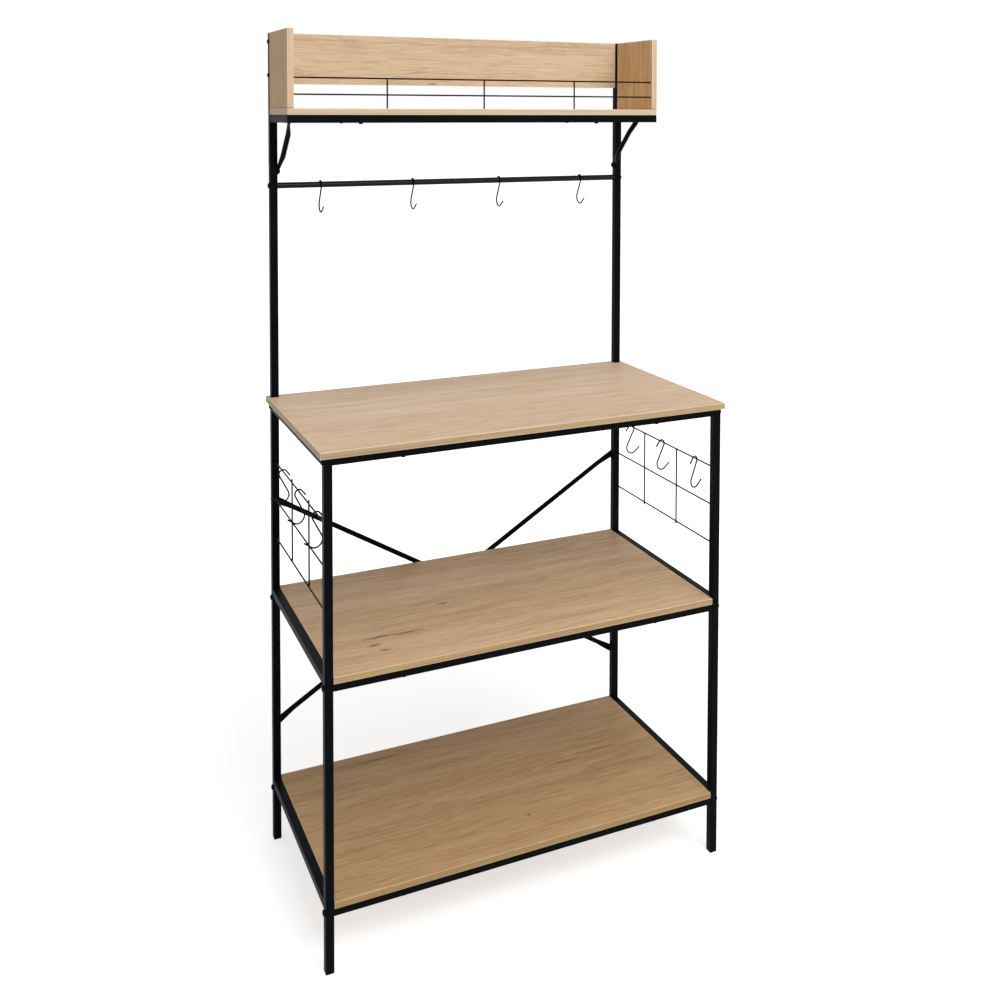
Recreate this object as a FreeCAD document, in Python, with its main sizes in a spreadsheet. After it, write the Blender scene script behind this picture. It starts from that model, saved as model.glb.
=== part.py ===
# A free-standing kitchen rack, in millimetres: X runs left to right, Y front to back, Z up.
# The origin is on the floor, under the middle of the rack's box.
import FreeCAD, Part
import math
import os

import Sketcher

Vector = FreeCAD.Vector
Rotation = FreeCAD.Rotation
Constraint = Sketcher.Constraint

SIZES = {
    # Steel frame
    "rack_width": 786.0,
    "rack_depth": 407.0,
    "rack_height": 1605.0,
    "post_side": 15.0,
    "post_wall": 1.2,
    "tube_corner": 1.5,
    "long_rail_side": 13.0,
    "long_rail_wall": 1.2,
    "foot_height": 4.0,
    "foot_edge": 1.0,
    "cap_height": 2.0,
    "cap_edge": 0.6,
    "foot_plug_length": 14.0,
    "cap_plug_length": 10.0,
    "plug_gap": 0.1,
    # Boards
    "bottom_shelf_height": 123.0,
    "mid_shelf_rise": 386.0,
    "worktop_rise": 383.0,
    "board_thickness": 12.0,
    "board_edge": 0.8,
    "board_side_gap": 0.4,
    "board_rear_gap": 1.0,
    "worktop_overhang_x": 7.0,
    "worktop_overhang_y": 4.0,
    # Tray at the top
    "tray_side_height": 147.0,
    "tray_depth": 148.0,
    "panel_thickness": 12.0,
    "back_panel_height": 99.0,
    "dowel_diameter": 6.0,
    "dowel_in_board": 8.0,
    "dowel_in_panel": 16.0,
    "dowel_inset": 30.0,
    "dowel_gap": 0.1,
    "dowel_end_gap": 0.3,
    # Gallery rail along the tray's front
    "gallery_wire": 3.0,
    "gallery_top": 57.0,
    "gallery_low": 26.0,
    "gallery_setback": 6.5,
    "gallery_pitch": 200.0,
    "gallery_seat": 6.0,
    "gallery_gap": 0.2,
    "gallery_end_gap": 0.5,
    # Hanging rod and side grids
    "rod_drop": 139.0,
    "rod_diameter": 12.0,
    "rod_wall": 1.0,
    "grid_wire": 3.0,
    "grid_drop": 117.0,
    "grid_pitch": 75.0,
    "grid_overshoot": 3.0,
    "weld_sink": 0.5,
    # Bent wire hooks
    "hook_wire": 3.0,
    "hook_play": 0.5,
    "hook_rest_gap": 0.3,
    "hook_loop_sweep": 170.0,
    "hook_loop_tip": 12.3,
    "hook_shank": 35.4,
    "hook_bowl_radius": 13.5,
    "hook_bowl_sweep": 154.5,
    "hook_bowl_tip": 15.7,
    "hook_end_chamfer": 0.4,
    "rod_hook_margin": 87.0,
    "side_hook_pitch": 125.0,
    # Braces of tube with flattened ends
    "brace_diameter": 10.0,
    "brace_wall": 1.0,
    "brace_slit": 0.5,
    "brace_seam": 0.2,
    "brace_tab_width": 14.0,
    "brace_tab_length": 12.0,
    "brace_nose_width": 8.0,
    "brace_nose_length": 4.0,
    "brace_nose_reach": 6.5,
    "brace_flare": 30.0,
    "brace_cross_flat": 14.0,
    "brace_cross_drop": 51.5,
    "brace_rise": 455.0,
    "tray_brace_drop": 103.5,
    "tray_brace_reach": 106.0,
    # Fasteners
    "bolt_diameter": 6.0,
    "bolt_head_diameter": 10.5,
    "bolt_head_height": 3.3,
    "bolt_head_edge": 1.2,
    "bolt_bite": 12.0,
    "bolt_tip_gap": 2.0,
    "bolt_hole_gap": 0.2,
    "thread_gap": 0.1,
    "recess_gap": 0.3,
    "brace_bolt_length": 12.0,
    "nut_width": 10.0,
    "nut_height": 5.0,
    "insert_length": 15.0,
    "post_plug_length": 22.0,
    "screw_diameter": 4.0,
    "screw_head_diameter": 8.0,
    "screw_head_height": 2.4,
    "screw_head_edge": 0.8,
    "shelf_screw_bite": 9.0,
    "shelf_screw_offset": 252.0,
    "panel_screw_length": 35.0,
    "panel_screw_inset": 17.0,
    "screw_end_gap": 0.5,
}

# Turns of the hooks about the vertical, in degrees, from rear to front
RIGHT_HOOK_TURNS = (5.0, 10.0, 20.0)
LEFT_HOOK_TURNS = (5.0, 15.0, 10.0)
ROD_HOOK_COUNT = 4
GRID_ROWS = 3

# First guess for a sketch dimension, before its expression sets it
GUESS = 10.0

# Places that several pieces share, as expressions on the sheet
POST_X = "((Sizes.rack_width - Sizes.post_side) / 2)"
POST_Y = "((Sizes.rack_depth - Sizes.post_side) / 2)"
MIDDLE_Y = "((Sizes.worktop_overhang_y - Sizes.brace_diameter) / 2)"
FRONT_Y = f"({MIDDLE_Y} - {POST_Y})"
REAR_Y = f"({MIDDLE_Y} + {POST_Y})"
REAR_FACE_Y = f"({REAR_Y} + Sizes.post_side / 2)"
OUTER_X = "(Sizes.rack_width / 2)"
INNER_X = "(Sizes.rack_width / 2 - Sizes.post_side)"
INNER_DEPTH = "(Sizes.rack_depth - 2 * Sizes.post_side)"
POST_BORE = "(Sizes.post_side - 2 * Sizes.post_wall)"
RAIL_BORE = "(Sizes.long_rail_side - 2 * Sizes.long_rail_wall)"
ROD_BORE = "(Sizes.rod_diameter - 2 * Sizes.rod_wall)"
BOLT_HOLE = "(Sizes.bolt_diameter + 2 * Sizes.bolt_hole_gap)"
TAPPED_HOLE = "(Sizes.bolt_diameter + 2 * Sizes.thread_gap)"
SCREW_HOLE = "(Sizes.screw_diameter + 2 * Sizes.bolt_hole_gap)"
PILOT_HOLE = "(Sizes.screw_diameter + 2 * Sizes.thread_gap)"
BOLT_LENGTH = "(Sizes.post_side + Sizes.bolt_bite)"
TRAY_BOLT_LENGTH = "(2 * Sizes.post_side - Sizes.post_wall - Sizes.bolt_tip_gap)"
SHELF_SCREW_LENGTH = "(Sizes.long_rail_side + Sizes.shelf_screw_bite)"
HEAD_RECESS = "(Sizes.bolt_head_height + Sizes.recess_gap)"
RACK_TOP = "(Sizes.rack_height + Sizes.cap_height)"

BOTTOM_TOP = "Sizes.bottom_shelf_height"
MID_TOP = f"({BOTTOM_TOP} + Sizes.mid_shelf_rise)"
WORKTOP_TOP = f"({MID_TOP} + Sizes.worktop_rise)"
LEVELS = {"worktop": WORKTOP_TOP, "mid": MID_TOP, "bottom": BOTTOM_TOP}
WORKTOP_UNDER = f"({WORKTOP_TOP} - Sizes.board_thickness)"
GRID_TOP = f"({WORKTOP_UNDER} - Sizes.grid_drop)"

TRAY_TOP = f"({RACK_TOP} - Sizes.tray_side_height)"
TRAY_UNDER = f"({TRAY_TOP} - Sizes.board_thickness)"
ROD_Z = f"({TRAY_UNDER} - Sizes.rod_drop)"
TRAY_RAIL_Z = f"({TRAY_UNDER} - Sizes.post_side / 2)"
TRAY_REAR_Y = f"({REAR_Y} - Sizes.post_side / 2)"
TRAY_FRONT_Y = f"({TRAY_REAR_Y} - Sizes.tray_depth)"
TRAY_MIDDLE_Y = f"({TRAY_REAR_Y} - Sizes.tray_depth / 2)"
TRAY_FRONT_RAIL_Y = f"({TRAY_FRONT_Y} + Sizes.post_side / 2)"
TRAY_REAR_RAIL_Y = f"({TRAY_REAR_Y} - Sizes.post_side / 2)"
PANEL_X = f"({OUTER_X} - Sizes.panel_thickness / 2)"
BACK_PANEL_Y = f"({REAR_FACE_Y} - Sizes.panel_thickness / 2)"
GALLERY_Y = f"({TRAY_FRONT_Y} + Sizes.gallery_setback)"
GALLERY_HOLE = "(Sizes.gallery_wire + 2 * Sizes.gallery_gap)"

TAB = "(2 * Sizes.brace_wall + Sizes.brace_slit)"
CROSS_RUN = "(Sizes.rack_width - Sizes.post_side)"
CROSS_Z = f"({MID_TOP} - Sizes.brace_cross_drop)"
BRACE_TOP = f"({CROSS_Z} + Sizes.brace_rise / 2)"
BRACE_BOTTOM = f"({CROSS_Z} - Sizes.brace_rise / 2)"
TRAY_BRACE_FOOT = f"({TRAY_RAIL_Z} - Sizes.tray_brace_drop)"
TRAY_BRACE_Z = f"({TRAY_RAIL_Z} - Sizes.tray_brace_drop / 2)"

HOOK_LOOP = "(Sizes.rod_diameter / 2 + Sizes.hook_play + Sizes.hook_wire / 2)"

doc = FreeCAD.newDocument("kitchen_rack")
sheet = doc.addObject("Spreadsheet::Sheet", "Sizes")
for row, (alias, value) in enumerate(SIZES.items(), start=1):
    sheet.set(f"A{row}", alias)
    sheet.set(f"B{row}", str(value))
    sheet.setAlias(f"B{row}", alias)
doc.recompute()

nodes = {}


def size(alias):
    """One driving dimension, read from the sheet."""
    return float(sheet.get(alias))


def keep(label, piece):
    """Label a finished sub-part, so that it is written to its own file."""
    piece.Label = label
    nodes[label] = piece
    return piece


def place(piece, x="0", y="0", z="0"):
    """Put a piece where three expressions say."""
    for axis, expression in zip("xyz", (x, y, z)):
        piece.setExpression(f"Placement.Base.{axis}", expression)
    return piece


def turn(piece, rotation):
    """Turn a piece about its own origin."""
    piece.Placement = FreeCAD.Placement(Vector(), rotation)
    return piece


def new_body(name):
    return doc.addObject("PartDesign::Body", name)


def new_sketch(body, name, role, height=None):
    """A sketch on one of the body's own planes, or at a height above it."""
    sketch = body.newObject("Sketcher::SketchObject", name)
    plane = next(feature for feature in body.Origin.OriginFeatures if feature.Role == role)
    sketch.AttachmentSupport = [(plane, "")]
    sketch.MapMode = "FlatFace"
    if height is not None:
        sketch.setExpression("AttachmentOffset.Base.z", height)
    return sketch


def dimension(sketch, constraint, expression):
    """Add a dimension to a sketch and bind it to an expression."""
    index = sketch.addConstraint(constraint)
    sketch.setExpression(f"Constraints[{index}]", expression)


def pin(sketch, geometry, point, spot):
    """Hold a point at a spot: each coordinate is "0", an expression, or "-" and an expression."""
    for kind, axis, coordinate in (("DistanceX", -2, spot[0]), ("DistanceY", -1, spot[1])):
        if coordinate == "0":
            sketch.addConstraint(Constraint("PointOnObject", geometry, point, axis))
        elif coordinate.startswith("-"):
            dimension(sketch, Constraint(kind, geometry, point, -1, 1, GUESS), coordinate[1:])
        else:
            dimension(sketch, Constraint(kind, -1, 1, geometry, point, GUESS), coordinate)


def guess(coordinate):
    """A starting coordinate on the side of the origin where the pinned point belongs."""
    if coordinate == "0":
        return 0.0
    return -GUESS if coordinate.startswith("-") else GUESS


def rectangle(sketch, width, height):
    """A rectangle about the sketch's origin."""
    half = GUESS / 2
    corners = [Vector(-half, -half), Vector(half, -half), Vector(half, half), Vector(-half, half)]
    first = len(sketch.Geometry)
    for index in range(4):
        sketch.addGeometry(Part.LineSegment(corners[index], corners[(index + 1) % 4]))
    for index in range(4):
        following = first + (index + 1) % 4
        sketch.addConstraint(Constraint("Coincident", first + index, 2, following, 1))
        direction = "Horizontal" if index % 2 == 0 else "Vertical"
        sketch.addConstraint(Constraint(direction, first + index))
    sketch.addConstraint(Constraint("Symmetric", first, 1, first + 1, 2, -1, 1))
    dimension(sketch, Constraint("DistanceX", first, 1, first, 2, GUESS), width)
    dimension(sketch, Constraint("DistanceY", first + 1, 1, first + 1, 2, GUESS), height)


def circle(sketch, diameter, spot=("0", "0")):
    """A circle of a bound diameter with its centre at a spot."""
    centre = Vector(guess(spot[0]), guess(spot[1]))
    index = sketch.addGeometry(Part.Circle(centre, Vector(0, 0, 1), GUESS / 4))
    pin(sketch, index, 3, spot)
    dimension(sketch, Constraint("Diameter", index, GUESS / 2), diameter)


def pad(body, name, sketch, length, symmetric=False):
    feature = body.newObject("PartDesign::Pad", name)
    feature.Profile = sketch
    feature.setExpression("Length", length)
    if symmetric:
        feature.SideType = "Symmetric"
    doc.recompute()
    return feature


def drill(body, name, role, spots, diameter, depth=None, height=None, forward=False):
    """Round holes at spots on a plane: right through, or to a depth behind or in front of the plane."""
    sketch = new_sketch(body, name + "_spots", role, height)
    for spot in spots:
        circle(sketch, diameter, spot)
    before = body.Shape.Volume
    feature = body.newObject("PartDesign::Pocket", name)
    feature.Profile = sketch
    if depth is None:
        feature.Type = "ThroughAll"
        feature.SideType = "Symmetric"
    else:
        feature.setExpression("Length", depth)
        feature.Reversed = forward
    doc.recompute()
    if body.Shape.Volume >= before:
        raise RuntimeError(f"{body.Name}: {name} cut nothing")


def edges_along(shape, direction, count):
    """Names of the outermost edges that run along a direction."""
    found = []
    for number, edge in enumerate(shape.Edges, start=1):
        run = edge.Vertexes[-1].Point - edge.Vertexes[0].Point
        if run.cross(direction).Length < 1e-6 < run.Length:
            middle = edge.CenterOfMass
            offset = middle - direction * middle.dot(direction)
            found.append((offset.Length, f"Edge{number}"))
    found.sort(reverse=True)
    return [name for _, name in found[:count]]


def dress(body, kind, base, edges, property_name, amount):
    """A fillet or a chamfer on named edges of a feature."""
    feature = body.newObject(f"PartDesign::{kind}", kind.lower())
    feature.Base = (base, edges)
    feature.setExpression(property_name, amount)
    doc.recompute()


def all_edges(shape):
    return [f"Edge{number}" for number in range(1, len(shape.Edges) + 1)]


# Square tubes

TUBE_DIRECTION = {"XY_Plane": Vector(0, 0, 1), "XZ_Plane": Vector(0, 1, 0), "YZ_Plane": Vector(1, 0, 0)}


def square_tube(label, role, side, wall, length, start=None):
    """A tube square to a plane: half on each side of it, or standing from a height above it."""
    body = new_body(label)
    section = new_sketch(body, "section", role, start)
    rectangle(section, side, side)
    bore = f"{side} - 2 * {wall}"
    rectangle(section, bore, bore)
    tube = pad(body, "tube", section, length, symmetric=start is None)
    corners = edges_along(tube.Shape, TUBE_DIRECTION[role], 4)
    dress(body, "Fillet", tube, corners, "Radius", "Sizes.tube_corner")
    return keep(label, body)


def long_rail_height(level):
    """Height of a long rail's axis, under the board that lies on it."""
    return f"({LEVELS[level]} - Sizes.board_thickness - Sizes.long_rail_side / 2)"


def side_rail_height(level):
    """Height of a side rail's axis: level with its shelf's top, or under the worktop."""
    if level == "worktop":
        return f"({WORKTOP_UNDER} - Sizes.post_side / 2)"
    return f"({LEVELS[level]} - Sizes.post_side / 2)"


def panel_screw_heights():
    """Heights of the back panel's screws, one near each of its long edges."""
    return (f"({RACK_TOP} - Sizes.panel_screw_inset)",
            f"({RACK_TOP} - Sizes.back_panel_height + Sizes.panel_screw_inset)")


def make_posts():
    """Four lower posts on feet, and two upper posts that stand on the worktop."""
    rail_spots = [("0", long_rail_height(level)) for level in LEVELS]
    brace_spots = [("0", BRACE_TOP), ("0", BRACE_BOTTOM)]
    lower_length = f"{WORKTOP_UNDER} - Sizes.foot_height"
    for row, y in (("front", FRONT_Y), ("rear", REAR_Y)):
        for hand, sign in (("left", "-"), ("right", "")):
            post = square_tube(f"{row}_{hand}_post", "XY_Plane", "Sizes.post_side", "Sizes.post_wall",
                               lower_length, "Sizes.foot_height")
            drill(post, "rail_bolt_holes", "YZ_Plane", rail_spots, BOLT_HOLE)
            if row == "rear":
                drill(post, "brace_threads", "XZ_Plane", brace_spots, TAPPED_HOLE, "Sizes.post_side")
            place(post, sign + POST_X, y)
    upper_length = f"Sizes.rack_height - {WORKTOP_TOP}"
    screw_y = f"({BACK_PANEL_Y} - {REAR_Y})"
    screw_spots = [(screw_y, height) for height in panel_screw_heights()]
    for hand, sign in (("left", "-"), ("right", "")):
        post = square_tube(f"upper_{hand}_post", "XY_Plane", "Sizes.post_side", "Sizes.post_wall",
                           upper_length, WORKTOP_TOP)
        drill(post, "rod_bolt_hole", "YZ_Plane", [("0", ROD_Z)], BOLT_HOLE)
        drill(post, "panel_screw_holes", "YZ_Plane", screw_spots, SCREW_HOLE)
        drill(post, "tray_bolt_hole", "XZ_Plane", [("0", TRAY_RAIL_Z)], BOLT_HOLE)
        drill(post, "brace_thread", "YZ_Plane", [("0", TRAY_BRACE_FOOT)], TAPPED_HOLE,
              "Sizes.post_side", forward=hand == "left")
        place(post, sign + POST_X, REAR_Y)


SHELF_SCREW_SPOTS = [("-Sizes.shelf_screw_offset", "0"), ("Sizes.shelf_screw_offset", "0")]


def make_rails():
    """Welded side rails between front and rear posts, and bolted long rails between left and right."""
    for level in LEVELS:
        for hand, sign in (("left", "-"), ("right", "")):
            rail = square_tube(f"{level}_{hand}_rail", "XZ_Plane", "Sizes.post_side", "Sizes.post_wall",
                               INNER_DEPTH)
            place(rail, sign + POST_X, MIDDLE_Y, side_rail_height(level))
        for row, y in (("front", FRONT_Y), ("rear", REAR_Y)):
            rail = square_tube(f"{level}_{row}_rail", "YZ_Plane", "Sizes.long_rail_side",
                               "Sizes.long_rail_wall", f"2 * {INNER_X}")
            drill(rail, "screw_holes", "XY_Plane", SHELF_SCREW_SPOTS, SCREW_HOLE)
            place(rail, "0", y, long_rail_height(level))


def make_tray_rails():
    """The tray's frame: front and rear rails over the full width, side rails between them."""
    for row, y in (("front", TRAY_FRONT_RAIL_Y), ("rear", TRAY_REAR_RAIL_Y)):
        rail = square_tube(f"tray_{row}_rail", "YZ_Plane", "Sizes.post_side", "Sizes.post_wall",
                           "Sizes.rack_width - 2 * Sizes.cap_height")
        drill(rail, "screw_holes", "XY_Plane", SHELF_SCREW_SPOTS, SCREW_HOLE)
        if row == "rear":
            bolt_spots = [("-" + POST_X, "0"), (POST_X, "0")]
            drill(rail, "post_bolt_threads", "XZ_Plane", bolt_spots, TAPPED_HOLE, "Sizes.post_side")
        place(rail, "0", y, TRAY_RAIL_Z)
    brace_y = f"({REAR_Y} - Sizes.tray_brace_reach - {TRAY_MIDDLE_Y})"
    for hand, sign in (("left", "-"), ("right", "")):
        rail = square_tube(f"tray_{hand}_rail", "XZ_Plane", "Sizes.post_side", "Sizes.post_wall",
                           "Sizes.tray_depth - 2 * Sizes.post_side")
        drill(rail, "brace_thread", "YZ_Plane", [(brace_y, "0")], TAPPED_HOLE, "Sizes.post_side",
              forward=hand == "left")
        place(rail, sign + POST_X, TRAY_MIDDLE_Y, TRAY_RAIL_Z)


# Boards

def board(label, role, across, along, thickness):
    """A board with eased edges, half its thickness on each side of a plane."""
    body = new_body(label)
    outline = new_sketch(body, "outline", role)
    rectangle(outline, across, along)
    panel = pad(body, "panel", outline, thickness, symmetric=True)
    dress(body, "Fillet", panel, all_edges(panel.Shape), "Radius", "Sizes.board_edge")
    return keep(label, body)


def pilot_holes(body, spots, rail_side):
    """Blind holes in a board's underside for the screws that come up through a rail."""
    depth = f"{SHELF_SCREW_LENGTH} - {rail_side} + Sizes.screw_end_gap"
    under = "-Sizes.board_thickness / 2"
    drill(body, "screw_pilots", "XY_Plane", spots, PILOT_HOLE, depth, under, forward=True)


def both_sides(x, ys):
    """Spots at plus and minus x, at each y."""
    return [(sign + x, y) for sign in ("-", "") for y in ys]


def make_shelves():
    """The worktop over the posts, and two shelves between them."""
    long_rail_ys = ("-" + POST_Y, POST_Y)
    top = board("worktop", "XY_Plane", "Sizes.rack_width + 2 * Sizes.worktop_overhang_x",
                "Sizes.rack_depth + 2 * Sizes.worktop_overhang_y", "Sizes.board_thickness")
    pilot_holes(top, both_sides("Sizes.shelf_screw_offset", long_rail_ys), "Sizes.long_rail_side")
    post_spots = both_sides(POST_X, (POST_Y,))
    drill(top, "post_bolt_holes", "XY_Plane", post_spots, BOLT_HOLE)
    recess = "Sizes.bolt_head_diameter + 2 * Sizes.recess_gap"
    drill(top, "post_bolt_recesses", "XY_Plane", post_spots, recess, HEAD_RECESS,
          "-Sizes.board_thickness / 2", forward=True)
    place(top, "0", MIDDLE_Y, f"{WORKTOP_TOP} - Sizes.board_thickness / 2")
    shelf_y = f"({MIDDLE_Y} - Sizes.board_rear_gap / 2)"
    rail_ys = (f"-({POST_Y} - Sizes.board_rear_gap / 2)", f"({POST_Y} + Sizes.board_rear_gap / 2)")
    for level in ("mid", "bottom"):
        shelf = board(f"{level}_shelf", "XY_Plane", f"2 * ({INNER_X} - Sizes.board_side_gap)",
                      "Sizes.rack_depth - Sizes.board_rear_gap", "Sizes.board_thickness")
        pilot_holes(shelf, both_sides("Sizes.shelf_screw_offset", rail_ys), "Sizes.long_rail_side")
        place(shelf, "0", shelf_y, f"{LEVELS[level]} - Sizes.board_thickness / 2")


def make_tray_boards():
    """The tray's board, its two side panels and the back panel between the upper posts."""
    rail_y = "(Sizes.tray_depth / 2 - Sizes.post_side / 2)"
    dowel_y = "(Sizes.tray_depth / 2 - Sizes.dowel_inset)"
    dowel_hole = "Sizes.dowel_diameter + 2 * Sizes.dowel_gap"
    gallery_y = "-(Sizes.tray_depth / 2 - Sizes.gallery_setback)"
    gallery_depth = "Sizes.gallery_seat + Sizes.gallery_end_gap"
    tray = board("tray_board", "XY_Plane", "Sizes.rack_width", "Sizes.tray_depth", "Sizes.board_thickness")
    pilot_holes(tray, both_sides("Sizes.shelf_screw_offset", ("-" + rail_y, rail_y)), "Sizes.post_side")
    drill(tray, "dowel_holes", "XY_Plane", both_sides(PANEL_X, ("-" + dowel_y, dowel_y)), dowel_hole,
          "Sizes.dowel_in_board + Sizes.dowel_end_gap", "Sizes.board_thickness / 2")
    upright_spots = both_sides("Sizes.gallery_pitch", (gallery_y,)) + [("0", gallery_y)]
    drill(tray, "gallery_sockets", "XY_Plane", upright_spots, GALLERY_HOLE, gallery_depth,
          "Sizes.board_thickness / 2")
    place(tray, "0", TRAY_MIDDLE_Y, f"{TRAY_TOP} - Sizes.board_thickness / 2")
    wire_spots = [(gallery_y, f"-(Sizes.tray_side_height / 2 - Sizes.{height})")
                  for height in ("gallery_top", "gallery_low")]
    for hand, sign in (("left", "-"), ("right", "")):
        panel = board(f"tray_{hand}_panel", "YZ_Plane", "Sizes.tray_depth", "Sizes.tray_side_height",
                      "Sizes.panel_thickness")
        drill(panel, "dowel_holes", "XY_Plane", [("0", "-" + dowel_y), ("0", dowel_y)], dowel_hole,
              "Sizes.dowel_in_panel + Sizes.dowel_end_gap", "-Sizes.tray_side_height / 2", forward=True)
        inner_face = "Sizes.panel_thickness / 2" if hand == "left" else "-Sizes.panel_thickness / 2"
        drill(panel, "gallery_sockets", "YZ_Plane", wire_spots, GALLERY_HOLE, gallery_depth, inner_face,
              forward=hand == "right")
        place(panel, sign + PANEL_X, TRAY_MIDDLE_Y, f"{TRAY_TOP} + Sizes.tray_side_height / 2")
    back_z = f"({RACK_TOP} - Sizes.back_panel_height / 2)"
    back_width = f"2 * ({INNER_X} - Sizes.board_side_gap)"
    back = board("back_panel", "XZ_Plane", back_width, "Sizes.back_panel_height", "Sizes.panel_thickness")
    pilot_depth = "Sizes.panel_screw_length - Sizes.post_side - Sizes.board_side_gap + Sizes.screw_end_gap"
    screw_z = "(Sizes.back_panel_height / 2 - Sizes.panel_screw_inset)"
    end = f"({INNER_X} - Sizes.board_side_gap)"
    for hand, sign in (("left", "-"), ("right", "")):
        drill(back, f"{hand}_screw_pilots", "YZ_Plane", [("0", screw_z), ("0", "-" + screw_z)], PILOT_HOLE,
              pilot_depth, sign + end, forward=hand == "left")
    place(back, "0", BACK_PANEL_Y, back_z)


# Rod and welded wires

def make_rod():
    """The round rod between the upper posts."""
    body = new_body("hanging_rod")
    section = new_sketch(body, "section", "YZ_Plane")
    circle(section, "Sizes.rod_diameter")
    circle(section, ROD_BORE)
    pad(body, "tube", section, f"2 * {INNER_X}", symmetric=True)
    place(keep("hanging_rod", body), "0", REAR_Y, ROD_Z)


WIRE_TURN = {
    "x": Rotation(Vector(0, 1, 0), 90),
    "y": Rotation(Vector(1, 0, 0), -90),
    "z": Rotation(),
}


def wire(name, diameter, direction, length, start):
    """A straight wire from a start point along an axis."""
    piece = doc.addObject("Part::Cylinder", name)
    piece.setExpression("Radius", f"{diameter} / 2")
    piece.setExpression("Height", length)
    turn(piece, WIRE_TURN[direction])
    return place(piece, *start)


def weld(label, wires):
    """Wires that are welded where they cross, as one piece."""
    piece = doc.addObject("Part::MultiFuse", label)
    piece.Shapes = wires
    return keep(label, piece)


def make_grids():
    """A wire grid on each side, welded between the front and rear posts."""
    lap = "(Sizes.grid_wire - Sizes.weld_sink)"
    front_face = f"{FRONT_Y} + Sizes.post_side / 2"
    span = f"{GRID_ROWS - 1} * Sizes.grid_pitch"
    low_end = f"{GRID_TOP} - {span} - Sizes.grid_overshoot"
    for hand, sign, inward in (("left", "-", "+"), ("right", "", "-")):
        x = sign + POST_X
        wires = []
        for row in range(GRID_ROWS):
            z = f"{GRID_TOP} - {row} * Sizes.grid_pitch"
            wires.append(wire(f"{hand}_row", "Sizes.grid_wire", "y", INNER_DEPTH, (x, front_face, z)))
        for offset in ("-", "+"):
            y = f"{MIDDLE_Y} {offset} {INNER_DEPTH} / 6"
            length = f"{span} + 2 * Sizes.grid_overshoot"
            wires.append(wire(f"{hand}_column", "Sizes.grid_wire", "z", length,
                              (f"{x} {inward} {lap}", y, low_end)))
        weld(f"{hand}_wire_grid", wires)


def make_gallery():
    """Two wires along the tray's front, seated in the side panels, on three uprights."""
    seat_x = f"({OUTER_X} - Sizes.panel_thickness + Sizes.gallery_seat)"
    wires = []
    for height in ("Sizes.gallery_top", "Sizes.gallery_low"):
        start = (f"-{seat_x}", GALLERY_Y, f"{TRAY_TOP} + {height}")
        wires.append(wire("gallery_run", "Sizes.gallery_wire", "x", f"2 * {seat_x}", start))
    length = "Sizes.gallery_seat + Sizes.gallery_top + Sizes.gallery_wire / 2 - Sizes.weld_sink"
    for step in (-1, 0, 1):
        start = (f"{step} * Sizes.gallery_pitch", GALLERY_Y, f"{TRAY_TOP} - Sizes.gallery_seat")
        wires.append(wire("gallery_upright", "Sizes.gallery_wire", "z", length, start))
    weld("gallery_rail", wires)


# Bent wire hooks

def heading(angle):
    """A direction in the plane of a sketch, from an angle in radians."""
    return Vector(math.cos(angle), math.sin(angle))


def hook_path(body):
    """The hook's centre line: a tip, the loop round a bar, the shank, the bowl and its tip."""
    radius = size("rod_diameter") / 2 + size("hook_play") + size("hook_wire") / 2
    bowl = size("hook_bowl_radius")
    loop_end = math.radians(size("hook_loop_sweep"))
    bowl_end = math.pi + math.radians(size("hook_bowl_sweep"))
    normal = Vector(0, 0, 1)
    shank_top = Vector(radius, 0)
    shank_foot = Vector(radius, -size("hook_shank"))
    bowl_centre = shank_foot + Vector(bowl, 0)
    loop_stop = heading(loop_end) * radius
    tip = loop_stop + heading(loop_end + math.pi / 2) * size("hook_loop_tip")
    bowl_stop = bowl_centre + heading(bowl_end) * bowl
    low_tip = bowl_stop + heading(bowl_end + math.pi / 2) * size("hook_bowl_tip")
    sketch = new_sketch(body, "centre_line", "XZ_Plane")
    tip_line = sketch.addGeometry(Part.LineSegment(tip, loop_stop))
    loop_arc = sketch.addGeometry(Part.ArcOfCircle(Part.Circle(Vector(), normal, radius), 0, loop_end))
    shank = sketch.addGeometry(Part.LineSegment(shank_top, shank_foot))
    bowl_circle = Part.Circle(bowl_centre, normal, bowl)
    bowl_arc = sketch.addGeometry(Part.ArcOfCircle(bowl_circle, math.pi, bowl_end))
    low_line = sketch.addGeometry(Part.LineSegment(bowl_stop, low_tip))
    sketch.addConstraint(Constraint("Coincident", loop_arc, 3, -1, 1))
    sketch.addConstraint(Constraint("Tangent", tip_line, 2, loop_arc, 2))
    sketch.addConstraint(Constraint("Vertical", shank))
    sketch.addConstraint(Constraint("Tangent", loop_arc, 1, shank, 1))
    sketch.addConstraint(Constraint("Tangent", shank, 2, bowl_arc, 1))
    sketch.addConstraint(Constraint("Tangent", bowl_arc, 2, low_line, 1))
    dimension(sketch, Constraint("Radius", loop_arc, radius), HOOK_LOOP)
    dimension(sketch, Constraint("Angle", loop_arc, loop_end), "Sizes.hook_loop_sweep * 1 deg")
    dimension(sketch, Constraint("Distance", tip_line, size("hook_loop_tip")), "Sizes.hook_loop_tip")
    dimension(sketch, Constraint("Distance", shank, size("hook_shank")), "Sizes.hook_shank")
    dimension(sketch, Constraint("Radius", bowl_arc, bowl), "Sizes.hook_bowl_radius")
    dimension(sketch, Constraint("Angle", bowl_arc, bowl_end - math.pi), "Sizes.hook_bowl_sweep * 1 deg")
    dimension(sketch, Constraint("Distance", low_line, size("hook_bowl_tip")), "Sizes.hook_bowl_tip")
    doc.recompute()
    return sketch


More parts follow.
